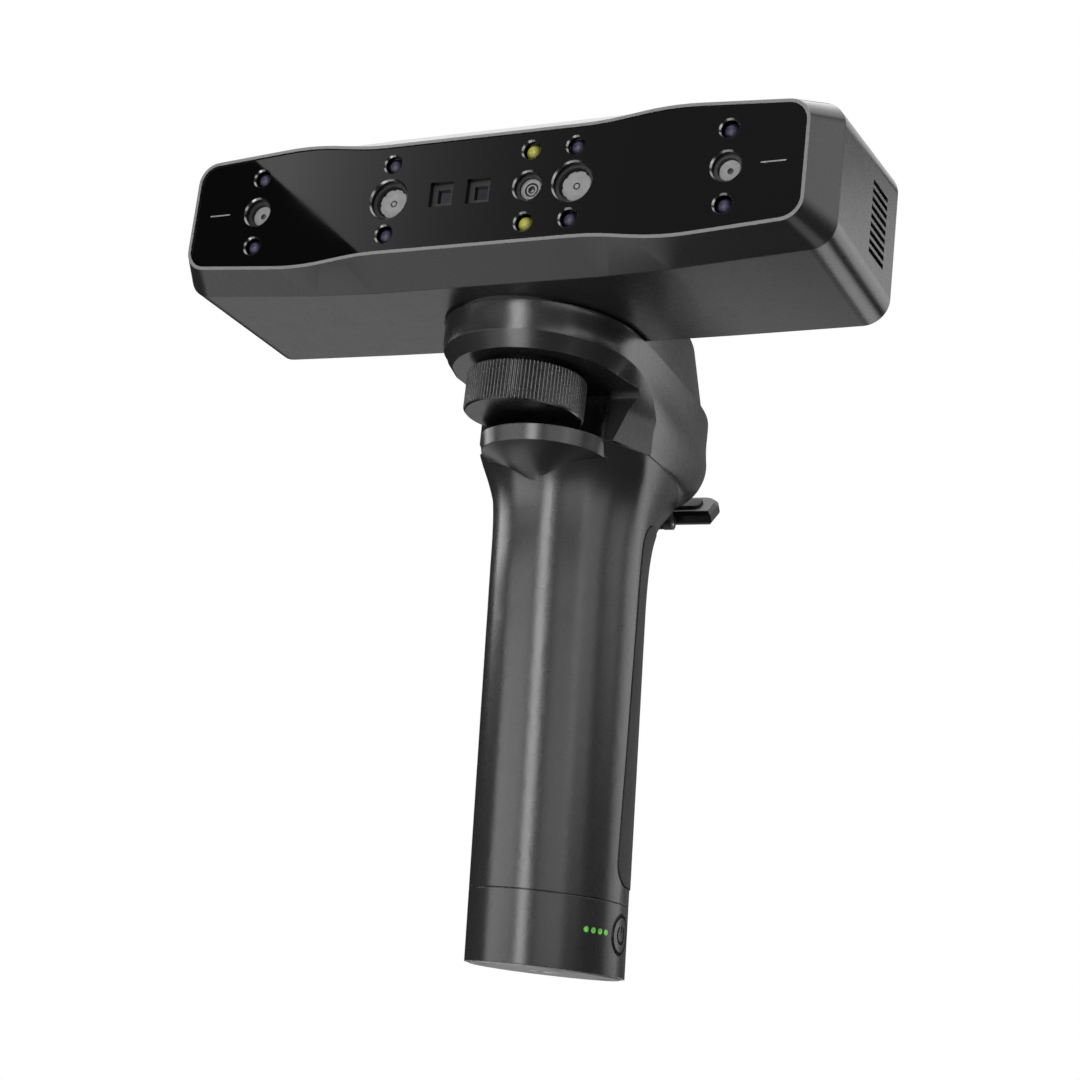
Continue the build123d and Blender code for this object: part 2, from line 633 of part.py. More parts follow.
def neck_sections():
    """Sections of the neck as one solid form, before the finger gap is cut."""
    levels = [
        GRIP_TOP_Z,
        GRIP_TOP_Z + NECK_LOW_LEVEL * FINGER_GAP,
        GRIP_TOP_Z + NECK_MIDDLE_LEVEL * FINGER_GAP,
        SEAT_UNDER_Z,
        CREASE_Z,
        CREASE_Z + SEAT_BAND / 2,
        BRIDGE_TOP_Z,
    ]
    sections = []
    for level, z in enumerate(levels):
        station = CREASE_BACK_Y + (SEAT_STATION_Y - CREASE_BACK_Y) * NECK_STATION[level]
        seat_growth = (SEAT_TOP_R - SEAT_R) * max(z - CREASE_Z, 0.0) / SEAT_BAND
        front_y = SEAT_STATION_Y - SEAT_NOSE - SEAT_R - seat_growth
        back_y = GRIP_TOP_BACK_Y + NECK_BULGE * NECK_BACK[level]
        half_width = CREASE_HALF_WIDTH + (SEAT_TOP_R - CREASE_HALF_WIDTH) * NECK_WIDER[level]
        shape = NECK_POWER[level], NECK_TAPER[level]
        sections.append(Section(z, half_width, station, station - front_y, back_y - station, *shape))
    return sections


def facet_wire(z, seat_radius, corner_half_width, corner_y):
    """Outline of the facet under the seat: seat nose in front, opening outwards behind the crease."""
    nose = Section(z, seat_radius, SEAT_STATION_Y, seat_radius + SEAT_NOSE, 1.0, 2.0, 0.0)
    path = [
        (-seat_radius, SEAT_STATION_Y, z),
        (-corner_half_width, corner_y, z),
        (-FAR, FAR, z),
        (FAR, FAR, z),
        (corner_half_width, corner_y, z),
        (seat_radius, SEAT_STATION_Y, z),
    ]
    sides = [Line(a, b) for a, b in zip(path, path[1:])]
    return Wire([half_outline(nose, -1)] + sides)


def facet_body():
    """Everything inside the facets. The crease runs level round the seat and turns down behind the gap."""
    def seat_radius(z):
        if z > SEAT_UNDER_Z:
            slope = (SEAT_R - SEAT_UNDER_R) / SEAT_CHAMFER
            return SEAT_UNDER_R + FIT_GAP + slope * (z - SEAT_UNDER_Z)
        share = (z - GRIP_TOP_Z) / FINGER_GAP
        return COLUMN_FACE_HALF_WIDTH + (SEAT_UNDER_R - COLUMN_FACE_HALF_WIDTH) * share ** 2

    turn_z = CREASE_Z - CREASE_RADIUS
    turn_y = CREASE_BACK_Y - CREASE_RADIUS
    upright = [facet_wire(z, seat_radius(z), CREASE_HALF_WIDTH, CREASE_BACK_Y) for z in (GRIP_TOP_Z, turn_z)]
    turned = []
    for step in range(CREASE_STEPS + 1):
        angle = pi / 2 * step / CREASE_STEPS
        z = turn_z + CREASE_RADIUS * sin(angle)
        corner_y = turn_y + CREASE_RADIUS * cos(angle)
        half_width = CREASE_HALF_WIDTH + (SEAT_R - CREASE_HALF_WIDTH) * sin(angle)
        turned.append(facet_wire(z, seat_radius(z), half_width, corner_y))
    return Solid.make_loft(upright, True) + Solid.make_loft(turned, False)


def neck_form():
    form = moulded(neck_sections())
    outside = block(-FAR, FAR, -2 * FAR, FAR, GRIP_TOP_Z, CREASE_Z) - facet_body()
    return form - outside


def bridge_shell():
    gap_outline = [
        (-2 * FAR, GRIP_TOP_Z),
        (COLUMN_LOW_Y, GRIP_TOP_Z),
        (COLUMN_HIGH_Y, SEAT_UNDER_Z),
        (-2 * FAR, SEAT_UNDER_Z),
    ]
    gap = side_prism(gap_outline, -FAR, FAR, [(2, GAP_CORNER)])
    pocket = block(-POCKET_HALF_WIDTH, POCKET_HALF_WIDTH, SCREW_Y, POCKET_BACK_Y, GRIP_TOP_Z, SEAT_UNDER_Z)
    pocket = fillet(pocket.edges().filter_by(Axis.Z).group_by(Axis.Y)[-1], POCKET_CORNER)
    shell = neck_form() - gap - pocket
    shell -= rod(0, SCREW_Y, SEAT_UNDER_Z, BRIDGE_TOP_Z, SCREW_R + SCREW_HOLE_GAP)
    shell -= rod(0, SCREW_Y, RING_Z - RING_DROP, BRIDGE_TOP_Z, RING_POCKET_R)
    shell -= block(-NECK_CAVITY_HALF_X, NECK_CAVITY_HALF_X, NECK_CAVITY_FRONT_Y, NECK_CAVITY_BACK_Y,
                   NECK_CAVITY_FLOOR_Z, BRIDGE_TOP_Z)
    for x in (-1, 1):
        for y in (NECK_CAVITY_FRONT_Y + 2 * WIRELESS_MARGIN, NECK_CAVITY_BACK_Y - 2 * WIRELESS_MARGIN):
            post_x = x * (NECK_CAVITY_HALF_X - 2 * WIRELESS_MARGIN)
            shell += rod(post_x, y, NECK_CAVITY_FLOOR_Z, NECK_CAVITY_FLOOR_Z + NECK_POST, NECK_POST_R)
    return shell


def wireless_board():
    half_x = NECK_CAVITY_HALF_X - WIRELESS_MARGIN
    base_z = NECK_CAVITY_FLOOR_Z + NECK_POST
    return block(-half_x, half_x, NECK_CAVITY_FRONT_Y + WIRELESS_MARGIN, NECK_CAVITY_BACK_Y - WIRELESS_MARGIN,
                 base_z, base_z + BOARD_T)


def hump_wire(z, half_width, back_y, margin):
    section = Section(z, half_width - margin, HUMP_FRONT_Y + margin, 1.0,
                      back_y - HUMP_FRONT_Y - 2 * margin, HUMP_POWER, HUMP_TAPER)
    front = Line((-section.half_width, section.station, z), (section.half_width, section.station, z))
    return Wire([half_outline(section, 1), front])


def hump_housing():
    """Lower housing behind the head, open below where it stands on the neck."""
    top_z = BRIDGE_TOP_Z + HUMP_HEIGHT
    top_half_width = HUMP_HALF_WIDTH - HUMP_SIDE_LEAN
    top_back_y = HUMP_BACK_Y - HUMP_BACK_LEAN
    base = hump_wire(BRIDGE_TOP_Z, HUMP_HALF_WIDTH, HUMP_BACK_Y, 0.0)
    outer = Solid.make_loft([base, hump_wire(top_z, top_half_width, top_back_y, 0.0)], True)
    outer = fillet(outer.edges().group_by(Axis.Z)[-1], HUMP_ROUND)
    room = [
        hump_wire(BRIDGE_TOP_Z, HUMP_HALF_WIDTH, HUMP_BACK_Y, HUMP_WALL),
        hump_wire(top_z - HUMP_WALL, top_half_width, top_back_y, HUMP_ROUND),
    ]
    return outer - Solid.make_loft(room, True)


def seat_pad():
    pad = rod(0, SEAT_PAD_Y, BRIDGE_TOP_Z, HEAD_BOTTOM_Z, SEAT_PAD_R)
    return pad - rod(0, SCREW_Y, BRIDGE_TOP_Z, HEAD_BOTTOM_Z, RING_POCKET_R)


# Thumb screw

def thumb_knob():
    flutes = [place * Circle(FLUTE_R) for place in PolarLocations(KNOB_R, KNOB_FLUTES)]
    profile = Circle(KNOB_R) - flutes
    knob = extrude(Pos(0, SCREW_Y, KNOB_Z) * profile, amount=KNOB_HEIGHT)
    blank = rod(0, SCREW_Y, KNOB_Z, KNOB_TOP_Z, KNOB_R)
    rims = blank.edges().filter_by(GeomType.CIRCLE).sort_by(Axis.Z)
    blank = chamfer(rims[0], KNOB_CHAMFER)
    rims = blank.edges().filter_by(GeomType.CIRCLE).sort_by(Axis.Z)
    blank = chamfer(rims[-1], KNOB_TOP_CHAMFER)
    return (knob & blank) - rod(0, SCREW_Y, KNOB_Z + KNOB_FLOOR, KNOB_TOP_Z, SCREW_R)


def thumb_screw():
    return rod(0, SCREW_Y, KNOB_Z + KNOB_FLOOR, HEAD_BOTTOM_Z + SCREW_BITE, SCREW_R)


def thrust_washer():
    washer = rod(0, SCREW_Y, KNOB_TOP_Z, SEAT_UNDER_Z, WASHER_R)
    return washer - rod(0, SCREW_Y, KNOB_TOP_Z, SEAT_UNDER_Z, SCREW_R + FIT_GAP)


def retaining_ring():
    ring = rod(0, SCREW_Y, RING_Z, RING_Z + RING_THICKNESS, RING_R)
    return ring - rod(0, SCREW_Y, RING_Z, RING_Z + RING_THICKNESS, SCREW_R)


# Head

def head_plane(y):
    return Plane(origin=(0, y, HEAD_CENTRE_Z), x_dir=(1, 0, 0), z_dir=(0, -1, 0))


def head_outline(half_length, waist, shoulder, end, corner):
    """Front view of the head: level in the middle, changing height at the shoulders, tapering to the ends."""
    quarter = [(WAIST_X, waist), (SHOULDER_X, shoulder), (half_length, end)]
    right = quarter + [(x, -z) for x, z in reversed(quarter)]
    points = right + [(-x, -z) for x, z in right]
    outline = make_face(Polyline(*points, close=True))
    ends = outline.vertices().filter_by(lambda v: abs(v.X) > half_length - 0.001)
    outline = fillet(ends, corner)
    bends = [v for v in outline.vertices() if min(abs(abs(v.X) - x) for x in (WAIST_X, SHOULDER_X)) < 0.001]
    return fillet(bends, OUTLINE_BLEND)


def window_outline(margin):
    return head_outline(
        WINDOW_HALF_LENGTH + margin, WINDOW_WAIST + margin, WINDOW_SHOULDER + margin, WINDOW_END + margin,
        WINDOW_CORNER + max(margin, 0.0),
    )


def shell_outline(end_drop, margin):
    half = HEAD_HEIGHT / 2
    shoulder_share = (SHOULDER_X - WAIST_X) / (HEAD_HALF_LENGTH - WAIST_X)
    shoulder_drop = end_drop * shoulder_share * SHOULDER_DROP_SHARE
    return head_outline(
        HEAD_HALF_LENGTH - margin, half - margin, half - margin - shoulder_drop,
        half - margin - end_drop, HEAD_CORNER - margin,
    )


def head_prism(outline, y0, y1):
    return extrude(head_plane(y0) * outline, amount=y0 - y1)


def head_loft(front, front_y, back, back_y):
    wires = [(head_plane(y) * outline).wires()[0] for outline, y in ((front, front_y), (back, back_y))]
    return Solid.make_loft(wires, True)


def front_bezel():
    bezel = head_loft(window_outline(RIM_WIDTH), HEAD_FRONT_Y, shell_outline(HEAD_END_DROP, 0.0), HEAD_SEAM_Y)
    bezel -= head_prism(window_outline(WINDOW_GAP), HEAD_FRONT_Y, LEDGE_Y)
    return bezel - head_prism(window_outline(-LEDGE_WIDTH), LEDGE_Y, HEAD_SEAM_Y)


def light_places():
    return [(x, side * LIGHT_ROW_Z) for x in INFRARED_X + FILL_X for side in (-1, 1)]


def bevelled_hole(x, z, radius):
    """Hole through the window, opening out at its front edge."""
    hole = rod_along_y(x, HEAD_CENTRE_Z + z, WINDOW_FRONT_Y, WINDOW_BACK_Y, radius)
    bevel = Pos(x, WINDOW_FRONT_Y + WINDOW_BEVEL / 2, HEAD_CENTRE_Z + z) * Rot(90, 0, 0) * Cone(
        radius, radius + WINDOW_BEVEL, WINDOW_BEVEL
    )
    return hole + bevel


def front_window():
    window = head_prism(window_outline(0.0), WINDOW_FRONT_Y, WINDOW_BACK_Y)
    for x, radius in CAMERAS.values():
        window -= bevelled_hole(x, 0.0, radius)
    for x, z in light_places():
        window -= bevelled_hole(x, z, LED_HOLE_R)
    half = PROJECTOR_HALF
    for x in PROJECTORS.values():
        window -= block(x - half, x + half, WINDOW_FRONT_Y, WINDOW_BACK_Y,
                        HEAD_CENTRE_Z - half, HEAD_CENTRE_Z + half)
    return window


def window_gasket():
    ring = head_prism(window_outline(0.0), WINDOW_BACK_Y, LEDGE_Y)
    return ring - head_prism(window_outline(-LEDGE_WIDTH), WINDOW_BACK_Y, LEDGE_Y)


def head_rear_shell():
    wall_y = HEAD_BACK_Y - HEAD_WALL
    shell = head_loft(shell_outline(HEAD_END_DROP, 0.0), HEAD_SEAM_Y,
                      shell_outline(HEAD_BACK_END_DROP, 0.0), HEAD_BACK_Y)
    shell = chamfer(shell.edges().group_by(Axis.Y)[-1], HEAD_BACK_ROUND)
    shell -= head_loft(shell_outline(HEAD_END_DROP, HEAD_WALL), HEAD_SEAM_Y,
                       shell_outline(HEAD_BACK_END_DROP, HEAD_WALL), wall_y)
    shell += rod(0, SCREW_Y, HEAD_BOTTOM_Z, HEAD_BOTTOM_Z + BUSH_LENGTH, BUSH_R + BUSH_BOSS_WALL)
    shell -= rod(0, SCREW_Y, HEAD_BOTTOM_Z, HEAD_BOTTOM_Z + BUSH_LENGTH, BUSH_R)
    vent_y = HEAD_BACK_Y - VENT_FROM_BACK
    for row in range(VENT_SLOTS):
        z = HEAD_CENTRE_Z + (row - (VENT_SLOTS - 1) / 2) * VENT_PITCH
        slot = Pos(0, vent_y, z) * Box(2 * HEAD_HALF_LENGTH + FAR, VENT_SLOT_LENGTH, VENT_SLOT_HEIGHT)
        core = 2 * (HEAD_HALF_LENGTH - 2 * HEAD_WALL)
        shell -= slot - Pos(0, vent_y, z) * Box(core, VENT_SLOT_LENGTH, VENT_SLOT_HEIGHT)
    sink_y = HEAD_BACK_Y - CASE_SCREW_HEAD
    for x, z in BENCH_POSTS:
        shell -= rod_along_y(x, HEAD_CENTRE_Z + z, wall_y, HEAD_BACK_Y, CASE_SCREW_R)
        shell -= rod_along_y(x, HEAD_CENTRE_Z + z, sink_y, HEAD_BACK_Y, CASE_SCREW_HEAD_R)
    shell += data_slot(HEAD_BACK_Y - PORT_DEPTH, wall_y, HEAD_PORT_BOSS)
    return shell - data_slot(HEAD_BACK_Y - PORT_DEPTH, HEAD_BACK_Y, 0.0)


def data_slot(y0, y1, margin):
    """Rounded slot of the data socket in the head's back wall."""
    outline = RectangleRounded(
        PORT_WIDTH + 2 * margin, PORT_HEIGHT + 2 * margin, (PORT_HEIGHT + 2 * margin) * PORT_CORNER_SHARE
    )
    return head_prism(Pos(HEAD_PORT_X, 0) * outline, y0, y1)


def data_socket():
    mouth_y = HEAD_BACK_Y - PORT_RECESS
    inner_y = HEAD_BACK_Y - PORT_DEPTH
    shell = data_slot(inner_y, mouth_y, 0.0) - data_slot(inner_y + PORT_WALL, mouth_y, -PORT_WALL)
    half_x = PORT_WIDTH / 2 - PORT_HEIGHT / 2
    tongue = block(HEAD_PORT_X - half_x, HEAD_PORT_X + half_x, inner_y, mouth_y - PORT_RECESS,
                   HEAD_CENTRE_Z - PORT_TONGUE / 2, HEAD_CENTRE_Z + PORT_TONGUE / 2)
    return shell + tongue


def head_bush():
    bush = rod(0, SCREW_Y, HEAD_BOTTOM_Z, HEAD_BOTTOM_Z + BUSH_LENGTH, BUSH_R)
    return bush - rod(0, SCREW_Y, HEAD_BOTTOM_Z, HEAD_BOTTOM_Z + BUSH_LENGTH, BUSH_BORE_R)


def optical_bench():
    plate = head_prism(shell_outline(HEAD_END_DROP, HEAD_WALL + FIT_GAP), HEAD_SEAM_Y, BENCH_BACK_Y)
    wall_y = HEAD_BACK_Y - HEAD_WALL
    for x, z in BENCH_POSTS:
        post = rod_along_y(x, HEAD_CENTRE_Z + z, BENCH_BACK_Y, wall_y, BENCH_POST_R)
        post += rod_along_y(x, HEAD_CENTRE_Z + z, BENCH_BACK_Y, MAIN_BOARD_Y, BENCH_POST_R + BENCH_SHOULDER)
        plate += post - rod_along_y(x, HEAD_CENTRE_Z + z, wall_y - CASE_SCREW_BITE, wall_y, CASE_SCREW_R)
    return plate


def case_screws():
    end_y = HEAD_BACK_Y - HEAD_WALL - CASE_SCREW_BITE
    sink_y = HEAD_BACK_Y - CASE_SCREW_HEAD
    screws = []
    for x, z in BENCH_POSTS:
        middle_z = HEAD_CENTRE_Z + z
        shank = rod_along_y(x, middle_z, end_y, HEAD_BACK_Y, CASE_SCREW_R)
        head = rod_along_y(x, middle_z, sink_y, HEAD_BACK_Y, CASE_SCREW_HEAD_R)
        screws.append(shank + head - key_socket(Plane(origin=(x, HEAD_BACK_Y, middle_z), z_dir=(0, -1, 0))))
    return screws


def main_board():
    board = block(-MAIN_BOARD_HALF_X, MAIN_BOARD_HALF_X, MAIN_BOARD_Y, MAIN_BOARD_Y + BOARD_T,
                  HEAD_CENTRE_Z - MAIN_BOARD_HALF_Z, HEAD_CENTRE_Z + MAIN_BOARD_HALF_Z)
    hole_r = BENCH_POST_R + FIT_GAP
    for x, z in BENCH_POSTS:
        board -= rod_along_y(x, HEAD_CENTRE_Z + z, MAIN_BOARD_Y, MAIN_BOARD_Y + BOARD_T, hole_r)
    return board


def heat_sink():
    base_y = MAIN_BOARD_Y + BOARD_T
    sink = block(-SINK_HALF_X, SINK_HALF_X, base_y, base_y + SINK_BASE,
                 HEAD_CENTRE_Z - SINK_HALF_Z, HEAD_CENTRE_Z + SINK_HALF_Z)
    span = 2 * SINK_HALF_Z - SINK_FIN_T
    for fin in range(SINK_FINS):
        z = HEAD_CENTRE_Z - span / 2 + span * fin / (SINK_FINS - 1)
        sink += block(-SINK_HALF_X, SINK_HALF_X, base_y, base_y + SINK_BASE + SINK_FIN_HEIGHT,
                      z - SINK_FIN_T / 2, z + SINK_FIN_T / 2)
    return sink


def camera_barrel(x, radius):
    barrel = rod_along_y(x, HEAD_CENTRE_Z, BARREL_FRONT_Y, HEAD_SEAM_Y, radius + BARREL_WALL)
    return barrel - rod_along_y(x, HEAD_CENTRE_Z, BARREL_FRONT_Y, BARREL_FRONT_Y + BARREL_LIP + LENS_DEPTH,
                                radius - BARREL_LIP)


def camera_lens(x, radius):
    """Lens seated in its barrel, with a crowned front."""
    lens_r = radius - BARREL_LIP
    base_y = BARREL_FRONT_Y + BARREL_LIP + LENS_DEPTH
    lens = rod_along_y(x, HEAD_CENTRE_Z, base_y - LENS_DEPTH, base_y, lens_r)
    sphere_r = (lens_r ** 2 + LENS_CROWN ** 2) / (2 * LENS_CROWN)
    ball = Pos(x, base_y - LENS_DEPTH - LENS_CROWN + sphere_r, HEAD_CENTRE_Z) * Sphere(sphere_r)
    return lens + (ball & rod_along_y(x, HEAD_CENTRE_Z, base_y - LENS_DEPTH - LENS_CROWN, base_y, lens_r))


def projector_housing(x):
    half = PROJECTOR_HALF + BARREL_WALL
    housing = block(x - half, x + half, BARREL_FRONT_Y, HEAD_SEAM_Y,
                    HEAD_CENTRE_Z - half, HEAD_CENTRE_Z + half)
    lens = PROJECTOR_LENS_HALF
    return housing - block(x - lens, x + lens, BARREL_FRONT_Y, BARREL_FRONT_Y + BARREL_LIP + LENS_DEPTH,
                           HEAD_CENTRE_Z - lens, HEAD_CENTRE_Z + lens)


def projector_lens(x):
    lens = PROJECTOR_LENS_HALF
    front_y = BARREL_FRONT_Y + BARREL_LIP
    return block(x - lens, x + lens, front_y, front_y + LENS_DEPTH,
                 HEAD_CENTRE_Z - lens, HEAD_CENTRE_Z + lens)


def light_dome(x, z):
    """Small light with a domed end just behind the front of the window."""
    radius = LED_HOLE_R - LED_GAP
    dome_y = WINDOW_FRONT_Y + WINDOW_BEVEL + radius
    stem = rod_along_y(x, HEAD_CENTRE_Z + z, dome_y, HEAD_SEAM_Y, radius)
    return stem + Pos(x, dome_y, HEAD_CENTRE_Z + z) * Sphere(radius)


# Rest

def rest_plane():
    tilt = radians(REST_TILT)
    return Plane(origin=(0, REST_HINGE_Y, REST_HINGE_Z), x_dir=(1, 0, 0), z_dir=(0, -sin(tilt), cos(tilt)))


def phone_rest():
    half, root, knuckle = REST_THICKNESS / 2, REST_ROOT, REST_KNUCKLE_HALF
    middle = (root + REST_LENGTH) / 2
    outline = Pos(0, middle) * Rectangle(2 * REST_HALF_WIDTH, REST_LENGTH - root)
    outline = fillet(outline.vertices().group_by(Axis.Y)[-1], REST_CORNER)
    tongue = extrude(Plane.XY.offset(-half) * outline, amount=REST_THICKNESS)
    flats = tongue.faces().sort_by(Axis.Z)
    tongue = chamfer(flats[0].edges() + flats[-1].edges(), REST_EDGE)
    arm = block(-knuckle, knuckle, 0, middle, -half + REST_EDGE, half - REST_EDGE)
    barrel = rod_along_x(0, 0, -knuckle, knuckle, REST_KNUCKLE_R)
    return rest_plane() * (tongue + arm + barrel - rod_along_x(0, 0, -knuckle, knuckle, PIN_R + PIN_GAP))


def rest_strip():
    middle = (REST_ROOT + REST_LENGTH) / 2
    outline = Pos(0, middle) * RectangleRounded(2 * STRIP_HALF_WIDTH, STRIP_DEPTH, STRIP_DEPTH / 3)
    return rest_plane() * extrude(Plane.XY.offset(REST_THICKNESS / 2) * outline, amount=STRIP_THICKNESS)


def rest_bracket(side):
    inner = REST_KNUCKLE_HALF + EAR_GAP
    x0, x1 = sorted((side * inner, side * (inner + EAR_WIDTH)))
    y, z = REST_HINGE_Y, REST_HINGE_Z
    web_outline = [
        (y - EAR_R, z),
        (y - EAR_R - EAR_LEAN, z + EAR_RISE),
        (y + EAR_R - 2 * EAR_LEAN, z + EAR_RISE),
        (y + EAR_R - EAR_HEEL, z),
    ]
    ear = side_prism(web_outline, x0, x1) + rod_along_x(y, z, x0, x1, EAR_R)
    ear -= rod_along_x(y, z, x0, x1, PIN_R)
    return ear - neck_form() - grip_body(0.0)


def rest_pin():
    half = REST_KNUCKLE_HALF + EAR_GAP + EAR_WIDTH
    return rod_along_x(REST_HINGE_Y, REST_HINGE_Z, -half, half, PIN_R)


def nodes():
    made = {
        "grip_shell": grip_shell(),
        "grip_pad": grip_pad(),
        "base_cap": base_cap(),
        "base_plate": base_plate(),
        "tripod_bush": tripod_bush(),
        "base_screws": base_screws(),
        "power_board": power_board(),
        "push_switch": push_switch(),
        "charge_socket": charge_socket(),
        "charge_lights": charge_lights(),
        "power_button": power_button(),
        "battery_cell_front": battery_cell(-1),
        "battery_cell_rear": battery_cell(1),
        "battery_carrier": battery_carrier(),
        "bridge_shell": bridge_shell(),
        "wireless_board": wireless_board(),
        "hump_housing": hump_housing(),
        "seat_pad": seat_pad(),
        "thumb_knob": thumb_knob(),
        "thumb_screw": thumb_screw(),
        "thrust_washer": thrust_washer(),
        "retaining_ring": retaining_ring(),
        "front_bezel": front_bezel(),
        "front_window": front_window(),
        "window_gasket": window_gasket(),
        "head_rear_shell": head_rear_shell(),
        "head_bush": head_bush(),
        "optical_bench": optical_bench(),
        "main_board": main_board(),
        "heat_sink": heat_sink(),
        "data_socket": data_socket(),
        "case_screws": case_screws(),
        "infrared_lights": [light_dome(x, s * LIGHT_ROW_Z) for x in INFRARED_X for s in (-1, 1)],
        "fill_lights": [light_dome(x, s * LIGHT_ROW_Z) for x in FILL_X for s in (-1, 1)],
        "phone_rest": phone_rest(),
        "rest_strip": rest_strip(),
        "rest_bracket_left": rest_bracket(-1),
        "rest_bracket_right": rest_bracket(1),
        "rest_pin": rest_pin(),
    }
    for name, (x, radius) in CAMERAS.items():
        made[name + "_barrel"] = camera_barrel(x, radius)
        made[name + "_lens"] = camera_lens(x, radius)
    for name, x in PROJECTORS.items():
        made[name + "_housing"] = projector_housing(x)
        made[name + "_lens"] = projector_lens(x)
    return made


def main():
    os.makedirs("parts", exist_ok=True)
    for name, shape in nodes().items():
        solids = shape if isinstance(shape, list) else [shape]
        export_step(Compound(children=[s for part in solids for s in part.solids()]), f"parts/{name}.step")


main()
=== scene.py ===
import json
import math
from collections import namedtuple

import bmesh
import bpy
from mathutils import Matrix, Vector


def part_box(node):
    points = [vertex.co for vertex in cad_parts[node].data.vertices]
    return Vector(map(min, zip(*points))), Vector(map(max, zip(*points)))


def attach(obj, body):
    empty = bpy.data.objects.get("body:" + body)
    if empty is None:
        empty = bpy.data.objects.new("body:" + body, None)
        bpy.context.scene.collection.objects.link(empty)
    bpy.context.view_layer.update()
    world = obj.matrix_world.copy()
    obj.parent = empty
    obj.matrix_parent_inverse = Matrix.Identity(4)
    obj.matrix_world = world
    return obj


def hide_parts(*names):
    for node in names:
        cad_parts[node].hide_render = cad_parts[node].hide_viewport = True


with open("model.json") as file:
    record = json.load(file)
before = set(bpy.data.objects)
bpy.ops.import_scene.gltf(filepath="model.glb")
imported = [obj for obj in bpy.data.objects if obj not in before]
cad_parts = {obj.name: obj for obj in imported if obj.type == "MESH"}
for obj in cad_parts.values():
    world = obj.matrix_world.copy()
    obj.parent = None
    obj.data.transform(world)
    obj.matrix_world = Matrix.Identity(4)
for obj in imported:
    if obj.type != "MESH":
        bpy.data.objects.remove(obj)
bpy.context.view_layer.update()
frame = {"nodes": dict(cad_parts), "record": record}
nodes = frame["nodes"]

MM = 0.001

# Camera of the photograph, in the part's frame and in metres, with the sensor's width in millimetres
CAMERA_PLACE = Vector((0.2837, -0.5849, -0.0245))
CAMERA_FORWARD = Vector((-0.4459, 0.8611, 0.2445))
CAMERA_RIGHT = Vector((0.8950, 0.4319, 0.1109))
CAMERA_NEAREST = 0.01
FOCAL_PIXELS = 2017.68
PHOTO_PIXELS = 1080
SENSOR_WIDTH = 36.0

# Head: places that the looks and the added pieces share with the solids
HEAD_WALL = 2.4 * MM
VENT_FROM_BACK = 18.5 * MM
HEAD_LOW, HEAD_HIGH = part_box("head_rear_shell")
HEAD_CENTRE_Z = (HEAD_LOW.z + HEAD_HIGH.z) / 2
END_WALL_INNER_X = HEAD_HIGH.x - HEAD_WALL
VENT_Y = HEAD_HIGH.y - VENT_FROM_BACK
RIM_FRONT_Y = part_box("front_bezel")[0].y
WINDOW_FRONT_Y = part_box("front_window")[0].y
WINDOW_BEVEL = 0.5 * MM
DOME_TIP_Y = WINDOW_FRONT_Y + WINDOW_BEVEL
DOME_DEPTH = 2.0 * MM

# Base cap and power button: places that the standby sign shares with the solids
CAP_HALF_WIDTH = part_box("base_cap")[1].x
CAP_HALF_DEPTH = 29.0 * MM
CAP_RAKE = 0.112
BUTTON_Y = 0.7 * MM
BUTTON_Z = 13.4 * MM
BUTTON_R = 6.2 * MM
BUTTON_PROUD = 0.15 * MM


# Materials

# Range that holds most values of a noise texture
NOISE_RANGE = (0.3, 0.7)
BEVEL_SAMPLES = 4
# Sockets of a colour mix node, by number because their names repeat
MIX_SHARE, MIX_FIRST, MIX_SECOND, MIX_RESULT = 0, 6, 7, 2


